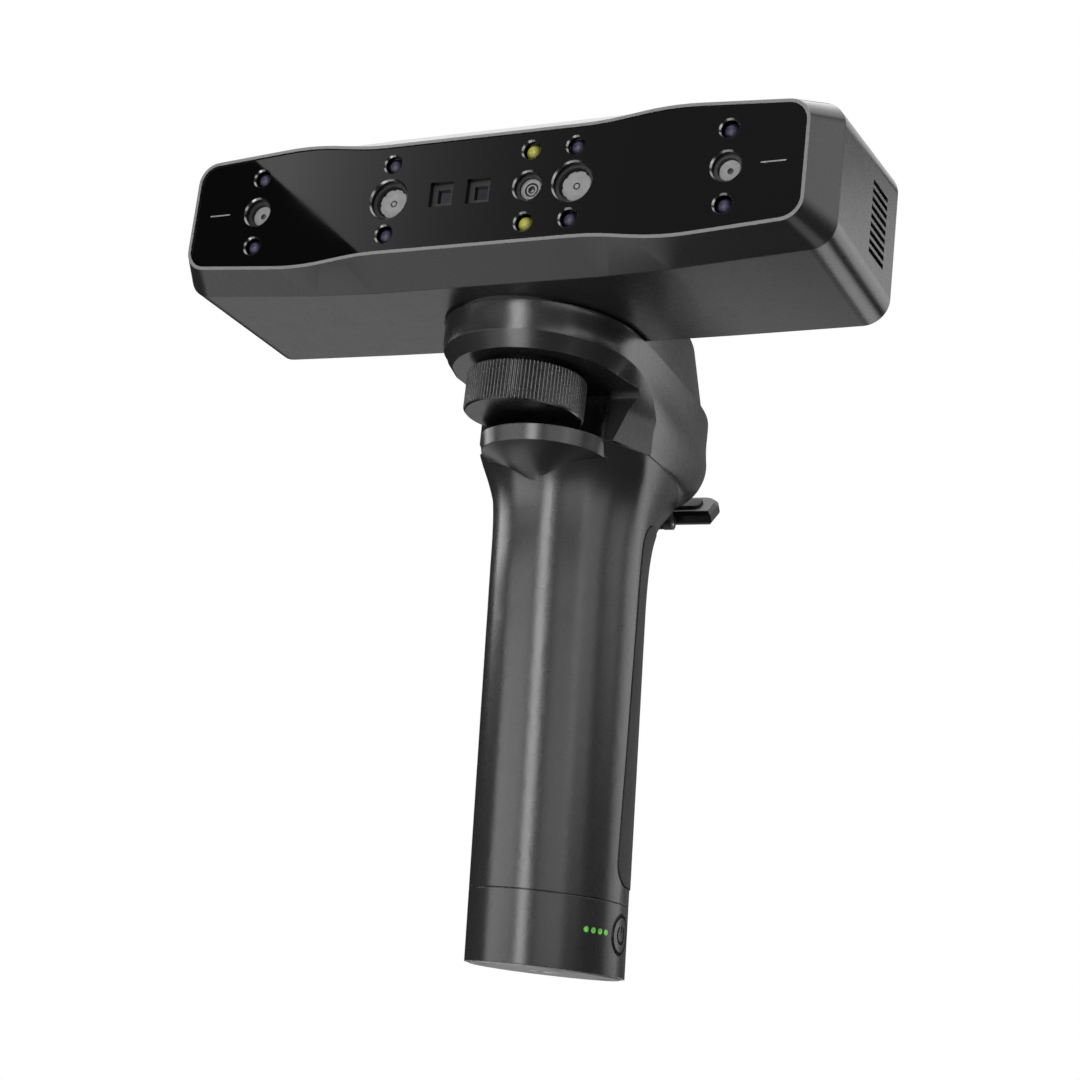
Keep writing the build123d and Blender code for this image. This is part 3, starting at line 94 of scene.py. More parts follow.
class Look:
    """A node material on a principled shader, with short names for the nodes that the looks share."""

    def __init__(self, name, colour, roughness, metallic=0.0, ior=1.5):
        self.material = bpy.data.materials.new(name)
        self.material.use_nodes = True
        self.material.diffuse_color = (*colour, 1.0)
        self.tree = self.material.node_tree
        self.shader = self.tree.nodes["Principled BSDF"]
        self.set("Base Color", colour)
        self.set("Roughness", roughness)
        self.set("Metallic", metallic)
        self.set("IOR", ior)
        self.coordinates = self.add("ShaderNodeTexCoord").outputs["Object"]
        self.normal = None

    def feed(self, socket, value):
        """Links a socket to the output of a node, or sets it to a number, a vector or a colour."""
        if isinstance(value, bpy.types.NodeSocket):
            self.tree.links.new(value, socket)
        elif socket.type == "RGBA":
            socket.default_value = (*value, 1.0)
        else:
            socket.default_value = value

    def set(self, name, value):
        """Feeds an input of the principled shader."""
        self.feed(self.shader.inputs[name], value)
        return self

    def add(self, kind, inputs=None, **settings):
        """New node with its settings made and its inputs fed."""
        node = self.tree.nodes.new(kind)
        for key, value in settings.items():
            setattr(node, key, value)
        for key, value in (inputs or {}).items():
            self.feed(node.inputs[key], value)
        return node

    def noise(self, scale, detail=3.0, roughness=0.55, vector=None):
        where = self.coordinates if vector is None else vector
        inputs = {"Vector": where, "Scale": scale, "Detail": detail, "Roughness": roughness}
        return self.add("ShaderNodeTexNoise", inputs).outputs["Fac"]

    def bricks(self, scale, first, second, mortar):
        colours = {"Color1": first, "Color2": second, "Mortar": mortar}
        return self.add("ShaderNodeTexBrick", {"Vector": self.coordinates, "Scale": scale, **colours})

    def remap(self, value, source, low=0.0, high=1.0):
        """Maps the source range of a value to the range low to high."""
        inputs = {"Value": value, "From Min": source[0], "From Max": source[1], "To Min": low, "To Max": high}
        return self.add("ShaderNodeMapRange", inputs).outputs["Result"]

    def spread(self, noise, low=0.0, high=1.0):
        return self.remap(noise, NOISE_RANGE, low, high)

    def mix(self, share, first, second):
        inputs = {MIX_SHARE: share, MIX_FIRST: first, MIX_SECOND: second}
        return self.add("ShaderNodeMix", inputs, data_type="RGBA").outputs[MIX_RESULT]

    def math(self, operation, first, second):
        return self.add("ShaderNodeMath", {0: first, 1: second}, operation=operation).outputs[0]

    def along(self, axis):
        return self.add("ShaderNodeSeparateXYZ", {"Vector": self.coordinates}).outputs[axis]

    def vary_colour(self, scale, dark, light):
        return self.set("Base Color", self.mix(self.spread(self.noise(scale)), dark, light))

    def vary_roughness(self, scale, low, high, detail=4.0):
        return self.set("Roughness", self.spread(self.noise(scale, detail), low, high))

    def soften_edges(self, radius):
        self.normal = self.add("ShaderNodeBevel", {"Radius": radius}, samples=BEVEL_SAMPLES).outputs["Normal"]
        return self.set("Normal", self.normal)

    def grain(self, height, depth, strength):
        inputs = {"Height": height, "Distance": depth, "Strength": strength}
        if self.normal is not None:
            inputs["Normal"] = self.normal
        self.normal = self.add("ShaderNodeBump", inputs).outputs["Normal"]
        return self.set("Normal", self.normal)


# Moulded plastic: its tone and roughness, the noise in both, and its spark-eroded grain
COOL_TINT = (1.0, 1.0, 1.02)
SHELL_TONE = 0.013
SHELL_ROUGHNESS = 0.27
PATCH_SCALE = 18.0
PATCH_CONTRAST = 0.04
SHEEN_SCALE = 160.0
SHEEN_LOW = -0.01
SHEEN_HIGH = 0.015
SPARK_SCALE = 3800.0
SPARK_DETAIL = 2.0
SPARK_DEPTH = 0.012 * MM


def tone(value):
    return tuple(value * share for share in COOL_TINT)


def patch_tones(value):
    """Darkest and lightest tone of moulded plastic."""
    return tone(value * (1 - PATCH_CONTRAST)), tone(value * (1 + PATCH_CONTRAST))


def satin_shell(name, value, roughness):
    """Moulded plastic with a fine spark-eroded grain and slightly uneven sheen."""
    look = Look(name, tone(value), roughness)
    look.vary_colour(PATCH_SCALE, *patch_tones(value))
    look.vary_roughness(SHEEN_SCALE, roughness + SHEEN_LOW, roughness + SHEEN_HIGH)
    look.soften_edges(0.35 * MM)
    return look.grain(look.noise(SPARK_SCALE, SPARK_DETAIL), SPARK_DEPTH, strength=0.35)


def bezel_look():
    """Shell plastic whose flat front rim, next to the window, is polished and painted a lighter grey as a
    painted highlight.
    """
    rim_depth = 0.05 * MM
    # Painted highlight: the front rim's grey is far lighter than the shell's
    rim_painted_highlight = tone(0.15)
    rim_polish = 0.12
    look = Look("bezel", tone(SHELL_TONE), SHELL_ROUGHNESS)
    rim = look.math("LESS_THAN", look.along("Y"), RIM_FRONT_Y + rim_depth)
    plastic = look.mix(look.spread(look.noise(PATCH_SCALE)), *patch_tones(SHELL_TONE))
    look.set("Base Color", look.mix(rim, plastic, rim_painted_highlight))
    sheen = look.spread(look.noise(SHEEN_SCALE), SHELL_ROUGHNESS + SHEEN_LOW, SHELL_ROUGHNESS + SHEEN_HIGH)
    look.set("Roughness", look.math("SUBTRACT", sheen, look.math("MULTIPLY", rim, rim_polish)))
    look.soften_edges(0.3 * MM)
    return look.grain(look.noise(SPARK_SCALE, SPARK_DETAIL), SPARK_DEPTH, strength=0.3)


def rubber_look():
    """Matt rubber with a pebbled surface."""
    look = Look("grip_rubber", tone(0.011), roughness=0.72)
    look.vary_colour(scale=30.0, dark=tone(0.0095), light=tone(0.0125))
    look.vary_roughness(scale=70.0, low=0.67, high=0.77)
    look.soften_edges(0.4 * MM)
    pebbles = look.add("ShaderNodeTexVoronoi", {"Vector": look.coordinates, "Scale": 1100.0}, feature="F1")
    return look.grain(pebbles.outputs["Distance"], depth=0.05 * MM, strength=0.4)


def window_look():
    """Black backed glass with plated edges at its holes, and wipe marks that only show in its reflections."""
    black = (0.0015, 0.0015, 0.0017)
    front_skin = 0.03 * MM
    plating = tone(0.16)
    plating_roughness = 0.2
    look = Look("window_black", black, roughness=0.02)
    depth = look.math("SUBTRACT", look.along("Y"), WINDOW_FRONT_Y)
    behind_front = look.math("GREATER_THAN", depth, front_skin)
    edge = look.math("MULTIPLY", behind_front, look.math("LESS_THAN", depth, WINDOW_BEVEL))
    look.set("Base Color", look.mix(edge, black, plating))
    look.set("Metallic", edge)
    wipes = look.spread(look.noise(scale=35.0, detail=6.0), low=0.012, high=0.035)
    return look.set("Roughness", look.math("ADD", wipes, look.math("MULTIPLY", edge, plating_roughness)))


def knob_look():
    """Dark anodised metal."""
    look = Look("knob", tone(0.065), roughness=0.27, metallic=1.0)
    look.vary_colour(scale=60.0, dark=tone(0.06), light=tone(0.07))
    look.vary_roughness(scale=90.0, low=0.24, high=0.31)
    look.soften_edges(0.15 * MM)
    return look.grain(look.noise(scale=5200.0, detail=2.0), depth=0.008 * MM, strength=0.3)


def metal_look(name, colour, roughness, stretch):
    """Turned or drawn metal with fine lines along one direction."""
    streak_shade = 0.8
    uneven = 0.06
    look = Look(name, colour, roughness, metallic=1.0)
    stretched = look.add("ShaderNodeMapping", {"Vector": look.coordinates, "Scale": stretch})
    streaks = look.noise(scale=900.0, detail=2.0, roughness=0.5, vector=stretched.outputs["Vector"])
    shaded = tuple(channel * streak_shade for channel in colour)
    look.set("Base Color", look.mix(look.spread(streaks), shaded, colour))
    look.vary_roughness(scale=120.0, low=roughness - uneven, high=roughness + uneven)
    return look.grain(streaks, depth=0.006 * MM, strength=0.4)


def gloss_black_look():
    """Smooth black plastic with a soft shine."""
    look = Look("gloss_black", tone(0.006), roughness=0.36, ior=1.25)
    look.vary_roughness(scale=80.0, low=0.32, high=0.4, detail=6.0)
    look.soften_edges(0.5 * MM)
    return look.grain(look.noise(scale=260.0), depth=0.01 * MM, strength=0.15)


def dome_look(name, tip, base, roughness):
    """Frosted tinted resin with painted shading: its colour is lighter at the tip of the dome and darker down
    at its foot.
    """
    uneven = 0.05
    look = Look(name, tip, roughness)
    depth = look.remap(look.along("Y"), (DOME_TIP_Y, DOME_TIP_Y + DOME_DEPTH))
    # Painted shading: the colour darkens from the tip of the dome down to its foot
    look.set("Base Color", look.mix(depth, tip, base))
    return look.vary_roughness(scale=400.0, low=roughness - uneven, high=roughness + uneven)


def light_pipe_look():
    """Lit green resin with a cloudy glow."""
    look = Look("green_light", (0.02, 0.1, 0.012), roughness=0.25)
    clouds = look.spread(look.noise(scale=1100.0))
    look.set("Emission Color", look.mix(clouds, (0.03, 0.2, 0.015), (0.25, 0.62, 0.15)))
    return look.set("Emission Strength", 0.8)


def board_look():
    """Green circuit board with raised tracks."""
    look = Look("board", (0.01, 0.07, 0.03), roughness=0.35)
    light, dark = (0.01, 0.08, 0.035), (0.008, 0.06, 0.028)
    tracks = look.bricks(scale=260.0, first=light, second=dark, mortar=(0.02, 0.14, 0.06))
    look.set("Base Color", tracks.outputs["Color"])
    look.vary_roughness(scale=200.0, low=0.28, high=0.42)
    return look.grain(tracks.outputs["Fac"], depth=0.03 * MM, strength=0.4)


def sleeve_look():
    """Blue shrink sleeve of a battery cell."""
    look = Look("cell", (0.05, 0.13, 0.32), roughness=0.32)
    look.vary_colour(scale=55.0, dark=(0.045, 0.12, 0.29), light=(0.055, 0.14, 0.35))
    look.vary_roughness(scale=130.0, low=0.26, high=0.38)
    return look.grain(look.noise(scale=700.0), depth=0.01 * MM, strength=0.3)


def lens_glass_look():
    """Dark glass with a bluish coating."""
    look = Look("lens_glass", (0.004, 0.005, 0.007), roughness=0.03)
    look.vary_roughness(scale=500.0, low=0.02, high=0.05)
    look.set("Coat Weight", 0.6)
    return look.set("Coat Tint", (0.75, 0.8, 1.0))


def lens_cell_look(name, value, roughness):
    """Fine-grained black or grey finish of a lens mount."""
    darkest = 0.85
    lightest = 1.1
    uneven = 0.05
    look = Look(name, tone(value), roughness)
    look.vary_colour(scale=500.0, dark=tone(value * darkest), light=tone(value * lightest))
    look.vary_roughness(scale=700.0, low=roughness - uneven, high=roughness + uneven)
    return look.grain(look.noise(scale=2600.0), depth=0.008 * MM, strength=0.4)


def screen_look():
    """Black woven dust screen."""
    look = Look("dust_screen", tone(0.005), roughness=0.6)
    light, dark = (0.006, 0.006, 0.006), (0.004, 0.004, 0.004)
    weave = look.bricks(scale=900.0, first=light, second=dark, mortar=(0.001, 0.001, 0.001))
    look.set("Base Color", weave.outputs["Color"])
    look.vary_roughness(scale=300.0, low=0.5, high=0.7)
    return look.grain(weave.outputs["Fac"], depth=0.05 * MM, strength=0.5)


def sign_and_groove_shade_look():
    """Matt black for the printed standby sign and for the painted shade of the groove round the button."""
    look = Look("sign_and_groove_shade_black", tone(0.001), roughness=0.8, ior=1.15)
    return look.vary_colour(scale=2500.0, dark=tone(0.0008), light=tone(0.0015))


def print_look():
    """Grey ink on the window."""
    look = Look("window_print", tone(0.15), roughness=0.45)
    return look.vary_colour(scale=2500.0, dark=tone(0.13), light=tone(0.17))


# Direction of a metal's fine lines: the coordinates are stretched along it
ALONG_X = (0.05, 1.0, 1.0)
ALONG_Y = (1.0, 0.05, 1.0)
ALONG_Z = (1.0, 1.0, 0.05)
LOOKS = {
    "shell": satin_shell("shell", SHELL_TONE, SHELL_ROUGHNESS),
    "grip_rubber": rubber_look(),
    "base_grey": satin_shell("base_grey", 0.24, roughness=0.5),
    "black_plastic": satin_shell("black_plastic", 0.012, roughness=0.5),
    "gloss_black": gloss_black_look(),
    "knob": knob_look(),
    "window_black": window_look(),
    "lens_glass": lens_glass_look(),
    "barrel": lens_cell_look("barrel", 0.014, roughness=0.4),
    # Dome colours at the tip and at the foot, with painted shading between the two
    "infrared_dome": dome_look("infrared_dome", (0.008, 0.006, 0.028), (0.002, 0.002, 0.006), roughness=0.5),
    "yellow_dome": dome_look("yellow_dome", (0.24, 0.24, 0.03), (0.03, 0.028, 0.005), roughness=0.4),
    "green_light": light_pipe_look(),
    "steel": metal_look("steel", (0.5, 0.5, 0.51), 0.3, ALONG_Z),
    "black_steel": metal_look("black_steel", (0.04, 0.04, 0.042), 0.38, ALONG_Y),
    "brass": metal_look("brass", (0.62, 0.44, 0.17), 0.28, ALONG_Z),
    "aluminium": metal_look("aluminium", (0.58, 0.59, 0.6), 0.36, ALONG_X),
    "board": board_look(),
    "cell": sleeve_look(),
}


def dress(part, look):
    part.data.materials.clear()
    part.data.materials.append(look.material)


for entry in frame["record"]["subparts"]:
    dress(nodes[entry["node"]], LOOKS[entry["material_slot"]])
dress(nodes["front_bezel"], bezel_look())


# Pieces added to the solids

# Print stands proud of its surface by this much
PRINT_PROUD = 0.02 * MM

# Standby sign on the power button, and a black ring along the button's rim that is painted shade of the
# groove; the bar's foot and step are shares of the sign's radius
SIGN_R = 2.7 * MM
SIGN_HALF_WIDTH = 0.42 * MM
SIGN_OPENING = math.radians(34)
SIGN_STEPS = 40
BAR_FOOT = 0.15
BAR_STEP = 0.22
BAR_POINTS = 5
GROOVE_SHADE_MARGIN = 0.05 * MM

# Line marks on the window
SLIT_X = 93.1 * MM
SLIT_LENGTH = 7.6 * MM
SLIT_HALF_WIDTH = 0.22 * MM
SLIT_STEPS = 8

# Dust screens behind the vents; their profile is depth from the wall and inset from the edge
SCREEN_HALF_Y = 8.6 * MM
SCREEN_HALF_Z = 13.2 * MM
SCREEN_CORNER = 2.0 * MM
SCREEN_CORNER_STEPS = 6
SCREEN_PROFILE = ((0.01 * MM, 0.0), (0.4 * MM, 0.0), (0.4 * MM, 1.0 * MM), (0.2 * MM, 1.2 * MM))

# Lens fronts: points round a ring, the notches of a lock ring in points and as a share of the radius,
# which ring is the lock ring, and how far the tip of the dome stands in front of the last ring
RING_POINTS = 64
NOTCH_SPACING = 8
NOTCH_WIDTH = 2
NOTCH_DIP = 0.93
LOCK_RING = 4
TIP_RISE = 0.05 * MM
BLACK, GREY, GLASS = 0, 1, 2

# Rings of the lens fronts from the outside in: share of the radius, depth in front of the lens's back in mm,
# and the surface of the band that ends there
Ring = namedtuple("Ring", "share depth surface")
# Near lenses: the grey dome at their middle is a painted glint
NEAR_RINGS = [
    Ring(1.0, 0.0, BLACK), Ring(1.0, 2.9, BLACK), Ring(0.96, 3.0, BLACK), Ring(0.93, 2.5, BLACK),
    Ring(0.9, 2.6, BLACK), Ring(0.22, 2.5, GREY), Ring(0.19, 2.3, BLACK), Ring(0.15, 2.3, BLACK),
    Ring(0.12, 2.7, GREY), Ring(0.05, 2.8, GREY),
]
COLOUR_RINGS = [
    Ring(1.0, 0.0, BLACK), Ring(1.0, 3.2, BLACK), Ring(0.95, 3.3, BLACK), Ring(0.88, 2.9, GREY),
    Ring(0.64, 2.9, GREY), Ring(0.6, 2.5, BLACK), Ring(0.5, 2.5, BLACK), Ring(0.47, 2.9, GREY),
    Ring(0.34, 2.9, GREY), Ring(0.31, 2.5, BLACK), Ring(0.2, 2.5, BLACK), Ring(0.17, 2.8, GREY),
    Ring(0.08, 2.9, GLASS),
]
OUTER_RINGS = [
    Ring(1.0, 0.0, BLACK), Ring(1.0, 2.9, BLACK), Ring(0.97, 3.0, BLACK), Ring(0.94, 2.6, BLACK),
    Ring(0.92, 2.6, GREY), Ring(0.27, 2.5, GREY), Ring(0.25, 2.3, BLACK), Ring(0.13, 2.3, BLACK),
    Ring(0.1, 2.5, GREY), Ring(0.05, 2.6, GLASS),
]

WINDOW_PRINT = print_look()
DUST_SCREEN = screen_look()
# In the order of BLACK, GREY and GLASS
LENS_SURFACES = [
    lens_cell_look("cell_black", 0.006, roughness=0.35),
    lens_cell_look("cell_grey", 0.2, roughness=0.4),
    LOOKS["lens_glass"],
]


def add_piece(name, mesh, looks, body, smooth=True):
    """Puts a finished bmesh into the scene as a piece that rides on a body."""
    data = bpy.data.meshes.new(name)
    mesh.to_mesh(data)
    mesh.free()
    for look in looks:
        data.materials.append(look.material)
    for polygon in data.polygons:
        polygon.use_smooth = smooth
    piece = bpy.data.objects.new(name, data)
    bpy.context.scene.collection.objects.link(piece)
    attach(piece, body)
    return piece


def arc(radius, first, sweep, steps):
    """Points of an arc round the origin of a plane, from the angle first on through sweep."""
    angles = [first + sweep * step / steps for step in range(steps + 1)]
    return [(radius * math.cos(angle), radius * math.sin(angle)) for angle in angles]


def ribbon(mesh, path, half_width, place, closed=False):
    """Flat band of even width along a path in the plane, with each point put in space by place()."""
    rows = []
    last = len(path) - 1
    for index, point in enumerate(path):
        before = path[index - 1] if index or closed else point
        after = path[(index + 1) % len(path)] if index < last or closed else point
        run = (Vector(after) - Vector(before)).normalized()
        side = Vector((-run.y, run.x)) * half_width
        edges = (Vector(point) - side, Vector(point) + side)
        rows.append([mesh.verts.new(place(p.x, p.y)) for p in edges])
    steps = len(rows) if closed else last
    for index in range(steps):
        low, high = rows[index], rows[(index + 1) % len(rows)]
        mesh.faces.new((low[0], low[1], high[1], high[0]))


def join_loops(mesh, first, second, surface=0):
    """Band of faces between two closed loops that have the same number of points."""
    for step in range(len(first)):
        after = (step + 1) % len(first)
        face = mesh.faces.new((first[step], first[after], second[after], second[step]))
        face.material_index = surface


def on_button(along, up):
    """Point on the curved face of the power button, just proud of it; along runs towards +Y."""
    y = BUTTON_Y + along
    z = BUTTON_Z + up
    offset = (y + CAP_RAKE * z) / (CAP_HALF_DEPTH + BUTTON_PROUD)
    x = (CAP_HALF_WIDTH + BUTTON_PROUD) * math.sqrt(1 - offset ** 2)
    return Vector((x + PRINT_PROUD, y, z))


def power_sign_and_groove_shade():
    """The usual sign for standby, a ring open at the top with a bar in it, and a black ring round the button
    that paints the shade of the groove.
    """
    ring = arc(SIGN_R, math.pi / 2 + SIGN_OPENING, 2 * math.pi - 2 * SIGN_OPENING, SIGN_STEPS)
    bar = [(0.0, SIGN_R * (BAR_FOOT + BAR_STEP * step)) for step in range(BAR_POINTS)]
    # Painted shade: a black ring just inside the button's edge, where the groove round it looks dark
    border = arc(BUTTON_R - SIGN_HALF_WIDTH - GROOVE_SHADE_MARGIN, 0.0, 2 * math.pi, 2 * SIGN_STEPS)
    mesh = bmesh.new()
    ribbon(mesh, ring, SIGN_HALF_WIDTH, on_button)
    ribbon(mesh, bar, SIGN_HALF_WIDTH, on_button)
    ribbon(mesh, border[:-1], SIGN_HALF_WIDTH, on_button, closed=True)
    piece = add_piece("power_sign_and_groove_shade", mesh, [sign_and_groove_shade_look()], "button")


def window_slit(name, side):
    """Printed mark on the window: a short thin line with round ends."""
    reach = SLIT_LENGTH / 2 - SLIT_HALF_WIDTH
    outline = []
    for end, first in ((-reach, math.pi / 2), (reach, -math.pi / 2)):
        for x, z in arc(SLIT_HALF_WIDTH, first, math.pi, SLIT_STEPS):
            outline.append((side * SLIT_X + end + x, WINDOW_FRONT_Y - PRINT_PROUD, HEAD_CENTRE_Z + z))
    mesh = bmesh.new()
    mesh.faces.new([mesh.verts.new(point) for point in outline])
    piece = add_piece(name, mesh, [WINDOW_PRINT], "body")


def rounded_outline(half_y, half_z, corner):
    """Points of a rectangle with rounded corners, round its middle."""
    points = []
    for quarter, (y, z) in enumerate(((1, 1), (-1, 1), (-1, -1), (1, -1))):
        for across, up in arc(corner, math.pi / 2 * quarter, math.pi / 2, SCREEN_CORNER_STEPS):
            points.append((y * (half_y - corner) + across, z * (half_z - corner) + up))
    return points


def vent_screen(name, side):
    """Dust screen on the inside of an end wall: a thin rounded plate with a raised border."""
    mesh = bmesh.new()
    loops = []
    for depth, inset in SCREEN_PROFILE:
        x = side * (END_WALL_INNER_X - depth)
        outline = rounded_outline(SCREEN_HALF_Y - inset, SCREEN_HALF_Z - inset, SCREEN_CORNER)
        loops.append([mesh.verts.new((x, VENT_Y + y, HEAD_CENTRE_Z + z)) for y, z in outline])
    for first, second in zip(loops, loops[1:]):
        join_loops(mesh, first, second)
    mesh.faces.new(loops[0])
    mesh.faces.new(loops[-1])
    bmesh.ops.recalc_face_normals(mesh, faces=mesh.faces)
    piece = add_piece(name, mesh, [DUST_SCREEN], "body", smooth=False)


def to_hundredth(length):
    """Length to a hundredth of a millimetre, for the box of a round solid, whose mesh is a polygon."""
    return round(length / MM, 2) * MM


def lens_row(mesh, middle, radius, ring, notched):
    """Ring of points of a lens front; a notched one dips inwards at even spaces, as a lock ring does."""
    row = []
    for step in range(RING_POINTS):
        angle = 2 * math.pi * step / RING_POINTS
        dip = NOTCH_DIP if notched and step % NOTCH_SPACING < NOTCH_WIDTH else 1.0
        reach = radius * ring.share * dip
        offset = Vector((reach * math.cos(angle), -ring.depth * MM, reach * math.sin(angle)))
        row.append(mesh.verts.new(middle + offset))
    return row


def lens_cell(node, rings, lock_ring=None):
    """Front of a camera lens: stepped rings round a small dome, in place of the plain lens solid; the dome is
    glass on the outer and colour lenses and grey on the near ones, where it is a painted glint.
    """
    low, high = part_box(node)
    middle = Vector((to_hundredth((low.x + high.x) / 2), high.y, HEAD_CENTRE_Z))
    radius = to_hundredth((high.z - low.z) / 2)
    mesh = bmesh.new()
    rows = [lens_row(mesh, middle, radius, ring, index == lock_ring) for index, ring in enumerate(rings)]
    for outer, inner, ring in zip(rows, rows[1:], rings[1:]):
        join_loops(mesh, outer, inner, ring.surface)
    tip = mesh.verts.new(middle - Vector((0.0, rings[-1].depth * MM + TIP_RISE, 0.0)))
    for step in range(RING_POINTS):
        face = mesh.faces.new((rows[-1][step], rows[-1][(step + 1) % RING_POINTS], tip))
        face.material_index = rings[-1].surface
    bmesh.ops.recalc_face_normals(mesh, faces=mesh.faces)
    piece = add_piece(node + "_cell", mesh, LENS_SURFACES, "body", smooth=False)
    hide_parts(node)


power_sign_and_groove_shade()
for side, name in ((-1, "left"), (1, "right")):
    window_slit("slit_mark_" + name, side)
    vent_screen("vent_screen_" + name, side)
    lens_cell("near_camera_" + name + "_lens", NEAR_RINGS, LOCK_RING)
    lens_cell("outer_camera_" + name + "_lens", OUTER_RINGS, LOCK_RING)
lens_cell("colour_camera_lens", COLOUR_RINGS)


# Studio, in metres

# Card that the window mirrors: the outline of its image on the window's plane as x and z, where it stands,
# where its glow is dim and bright, how the glow grows between the two and how strong it is
CARD_IMAGE = ((-0.1114, 0.262), (-0.0089, 0.18), (0.125, 0.16), (0.125, 0.282))
CARD_Y = -1.1
CARD_DIM_X = -0.4
CARD_BRIGHT_X = -0.8
CARD_GROWTH = 2.4
CARD_SWEEP = 1.35
CARD_LOW = 0.17

WORLD_FILL = 0.015
CEILING_POWER = 3.4
CEILING_SPREAD = math.radians(90)
FLOOR_HALF = 5.0
FLOOR_Z = -0.5
FLOOR_TONES = (0.85, 0.86, 0.87)
LIGHT_TARGET = Vector((0.0, -0.04, 0.13))
LIGHT_DISTANCE = 1.6

# Soft boxes round the part: azimuth and elevation in degrees, width and height in metres, power in watts;
# azimuth 0 is in front of the lenses and 90 at the near end of the head
SoftBox = namedtuple("SoftBox", "name azimuth elevation width height power")
SOFT_BOXES = (
    SoftBox("front", 0, 2, 0.45, 1.3, 19.0),
    SoftBox("front_low", -6, -44, 0.6, 0.5, 6.5),
    SoftBox("front_right", 44, -4, 1.2, 0.6, 5.0),
    SoftBox("left_front", -42, -6, 1.5, 0.6, 10.0),
    SoftBox("left_low", -78, -55, 2.2, 0.9, 7.0),
    SoftBox("left_edge", -92, 18, 0.8, 0.6, 7.0),
    SoftBox("right", 72, 12, 0.9, 0.9, 5.5),
    SoftBox("right_side", 108, 22, 0.7, 1.0, 4.0),
    SoftBox("right_rear", 144, 12, 0.8, 0.9, 4.4),
    SoftBox("rear", 178, 12, 0.8, 0.8, 0.35),
    SoftBox("back_top", 168, 48, 0.9, 0.9, 3.0),
    SoftBox("back_left", 228, 42, 1.0, 1.0, 5.0),
    SoftBox("back_low", 205, -21, 1.7, 0.6, 2.3),
    SoftBox("corner_low", 163, -27, 0.75, 0.55, 3.4),
    SoftBox("right_low", 95, -62, 0.8, 0.8, 2.4),
)


def sheet_mesh(name, corners):
    """Flat sheet that belongs to the studio and not to the part."""
    data = bpy.data.meshes.new(name)
    data.from_pydata([tuple(c) for c in corners], [], [tuple(range(len(corners)))])
    sheet = bpy.data.objects.new(name, data)
    bpy.context.scene.collection.objects.link(sheet)
    return sheet


def add_light(name, kind, power):
    data = bpy.data.lights.new(name, kind)
    data.energy = power
    light = bpy.data.objects.new(name, data)
    bpy.context.scene.collection.objects.link(light)
    return light


def soft_box(box, receivers):
    """Area light aimed at the part, which lights only what the collection of receivers lets it."""
    light = add_light(box.name, "AREA", box.power)
    light.data.shape = "RECTANGLE"
    light.data.size = box.width
    light.data.size_y = box.height
    azimuth, elevation = math.radians(box.azimuth), math.radians(box.elevation)
    level = math.cos(elevation)
    out = Vector((math.sin(azimuth) * level, -math.cos(azimuth) * level, math.sin(elevation)))
    light.location = LIGHT_TARGET + out * LIGHT_DISTANCE
    light.rotation_mode = "QUATERNION"
    light.rotation_quaternion = out.to_track_quat("Z", "Y")
    light.light_linking.receiver_collection = receivers


def ceiling():
    """Broad even light from above, which keeps the floor pale all over."""
    light = add_light("ceiling", "SUN", CEILING_POWER)
    light.data.angle = CEILING_SPREAD


def window_card():
    """Slanted glowing card whose reflection makes the grey sweep across the window."""
    mirrored = Vector((CAMERA_PLACE.x, 2 * WINDOW_FRONT_Y - CAMERA_PLACE.y, CAMERA_PLACE.z))
    corners = []
    for x, z in CARD_IMAGE:
        on_window = Vector((x, WINDOW_FRONT_Y, z))
        run = on_window - mirrored
        corners.append(on_window + run * ((CARD_Y - WINDOW_FRONT_Y) / run.y))
    card = sheet_mesh("window_card", corners)
    card.visible_camera = False
    card.visible_diffuse = False
    card.visible_shadow = False
    look = Look("window_card", (0.0, 0.0, 0.0), roughness=1.0)
    fade = look.remap(look.along("X"), (CARD_DIM_X, CARD_BRIGHT_X))
    sweep = look.math("MULTIPLY", look.math("POWER", fade, CARD_GROWTH), CARD_SWEEP)
    look.set("Emission Color", (1.0, 1.0, 1.0))
    look.set("Emission Strength", look.math("ADD", sweep, CARD_LOW))
    card.data.materials.append(look.material)


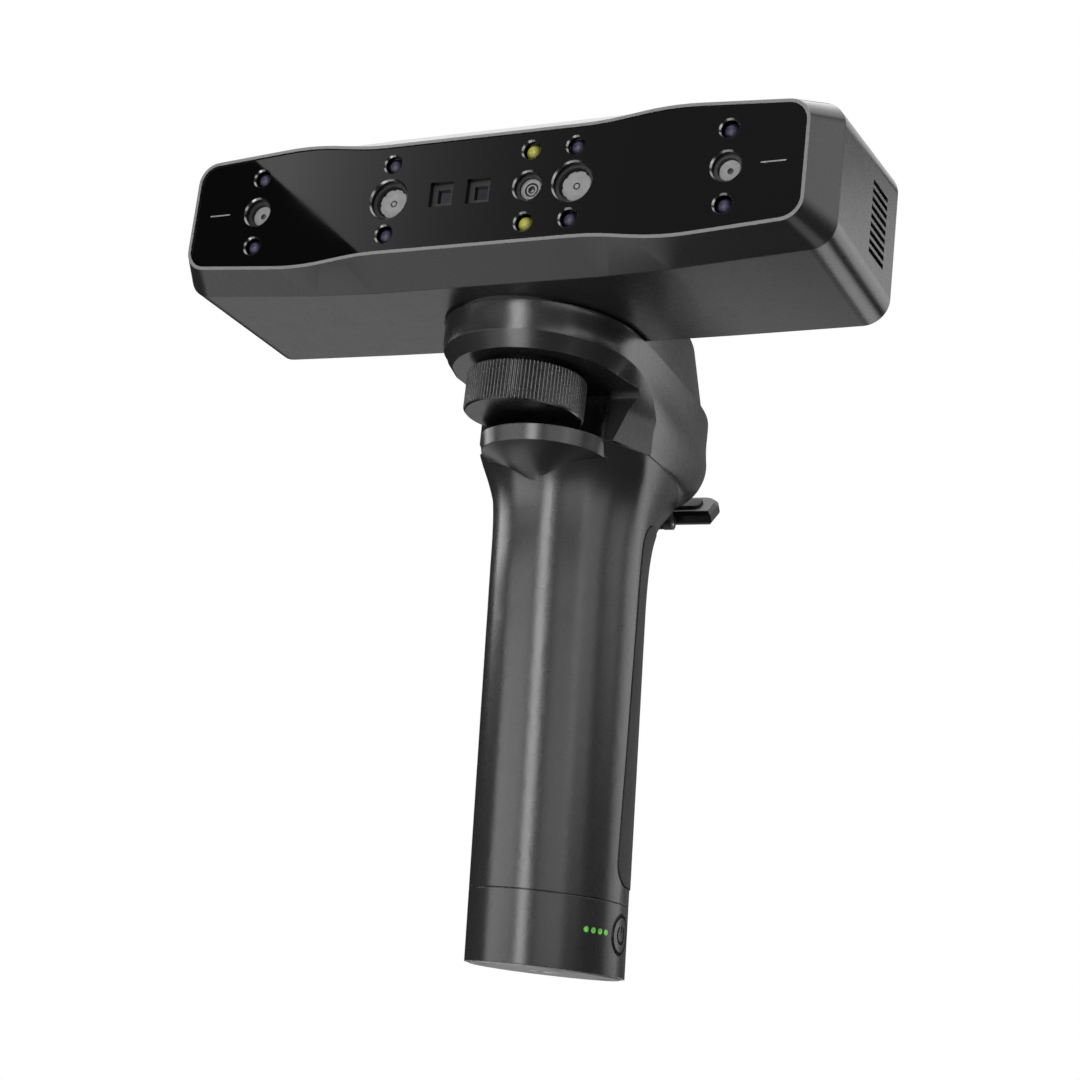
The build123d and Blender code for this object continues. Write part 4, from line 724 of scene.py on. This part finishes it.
def floor():
    """Pale floor that is seen from above, but throws no light back up at the part.

    Returns a collection of light receivers that leaves the floor out.
    """
    corners = [(x * FLOOR_HALF, y * FLOOR_HALF, FLOOR_Z) for x, y in ((-1, -1), (1, -1), (1, 1), (-1, 1))]
    sheet = sheet_mesh("floor", corners)
    sheet.visible_diffuse = False
    sheet.visible_glossy = False
    sheet.visible_shadow = False
    dark, even, light = [(value, value, value) for value in FLOOR_TONES]
    look = Look("floor", even, roughness=0.7)
    look.vary_colour(scale=3.0, dark=dark, light=light)
    sheet.data.materials.append(look.material)
    receivers = bpy.data.collections.new("lit_from_above_only")
    receivers.objects.link(sheet)
    receivers.collection_objects[0].light_linking.link_state = "EXCLUDE"
    return receivers


def surroundings():
    """White to the eye, dim as a light, so that the soft boxes shape the part."""
    world = bpy.data.worlds.new("studio")
    world.use_nodes = True
    tree = world.node_tree
    background = tree.nodes["Background"]
    seen = tree.nodes.new("ShaderNodeLightPath")
    strength = tree.nodes.new("ShaderNodeMapRange")
    strength.inputs["To Min"].default_value = WORLD_FILL
    strength.inputs["To Max"].default_value = 1.0
    tree.links.new(seen.outputs["Is Camera Ray"], strength.inputs["Value"])
    tree.links.new(strength.outputs["Result"], background.inputs["Strength"])
    background.inputs["Color"].default_value = (1.0, 1.0, 1.0, 1.0)
    bpy.context.scene.world = world


def photo_camera():
    """Camera at the place and with the view of the photograph's."""
    data = bpy.data.cameras.new("camera")
    data.sensor_width = SENSOR_WIDTH
    data.lens = SENSOR_WIDTH * FOCAL_PIXELS / PHOTO_PIXELS
    data.clip_start = CAMERA_NEAREST
    camera = bpy.data.objects.new("camera", data)
    back = -CAMERA_FORWARD.normalized()
    right = (CAMERA_RIGHT - back * CAMERA_RIGHT.dot(back)).normalized()
    up = back.cross(right)
    turn = Matrix((right, up, back)).transposed().to_4x4()
    camera.matrix_world = Matrix.Translation(CAMERA_PLACE) @ turn
    bpy.context.scene.collection.objects.link(camera)
    bpy.context.scene.camera = camera


photo_camera()
surroundings()
all_but_floor = floor()
window_card()
ceiling()
for box in SOFT_BOXES:
    soft_box(box, all_but_floor)
bpy.context.scene.view_settings.view_transform = "Standard"
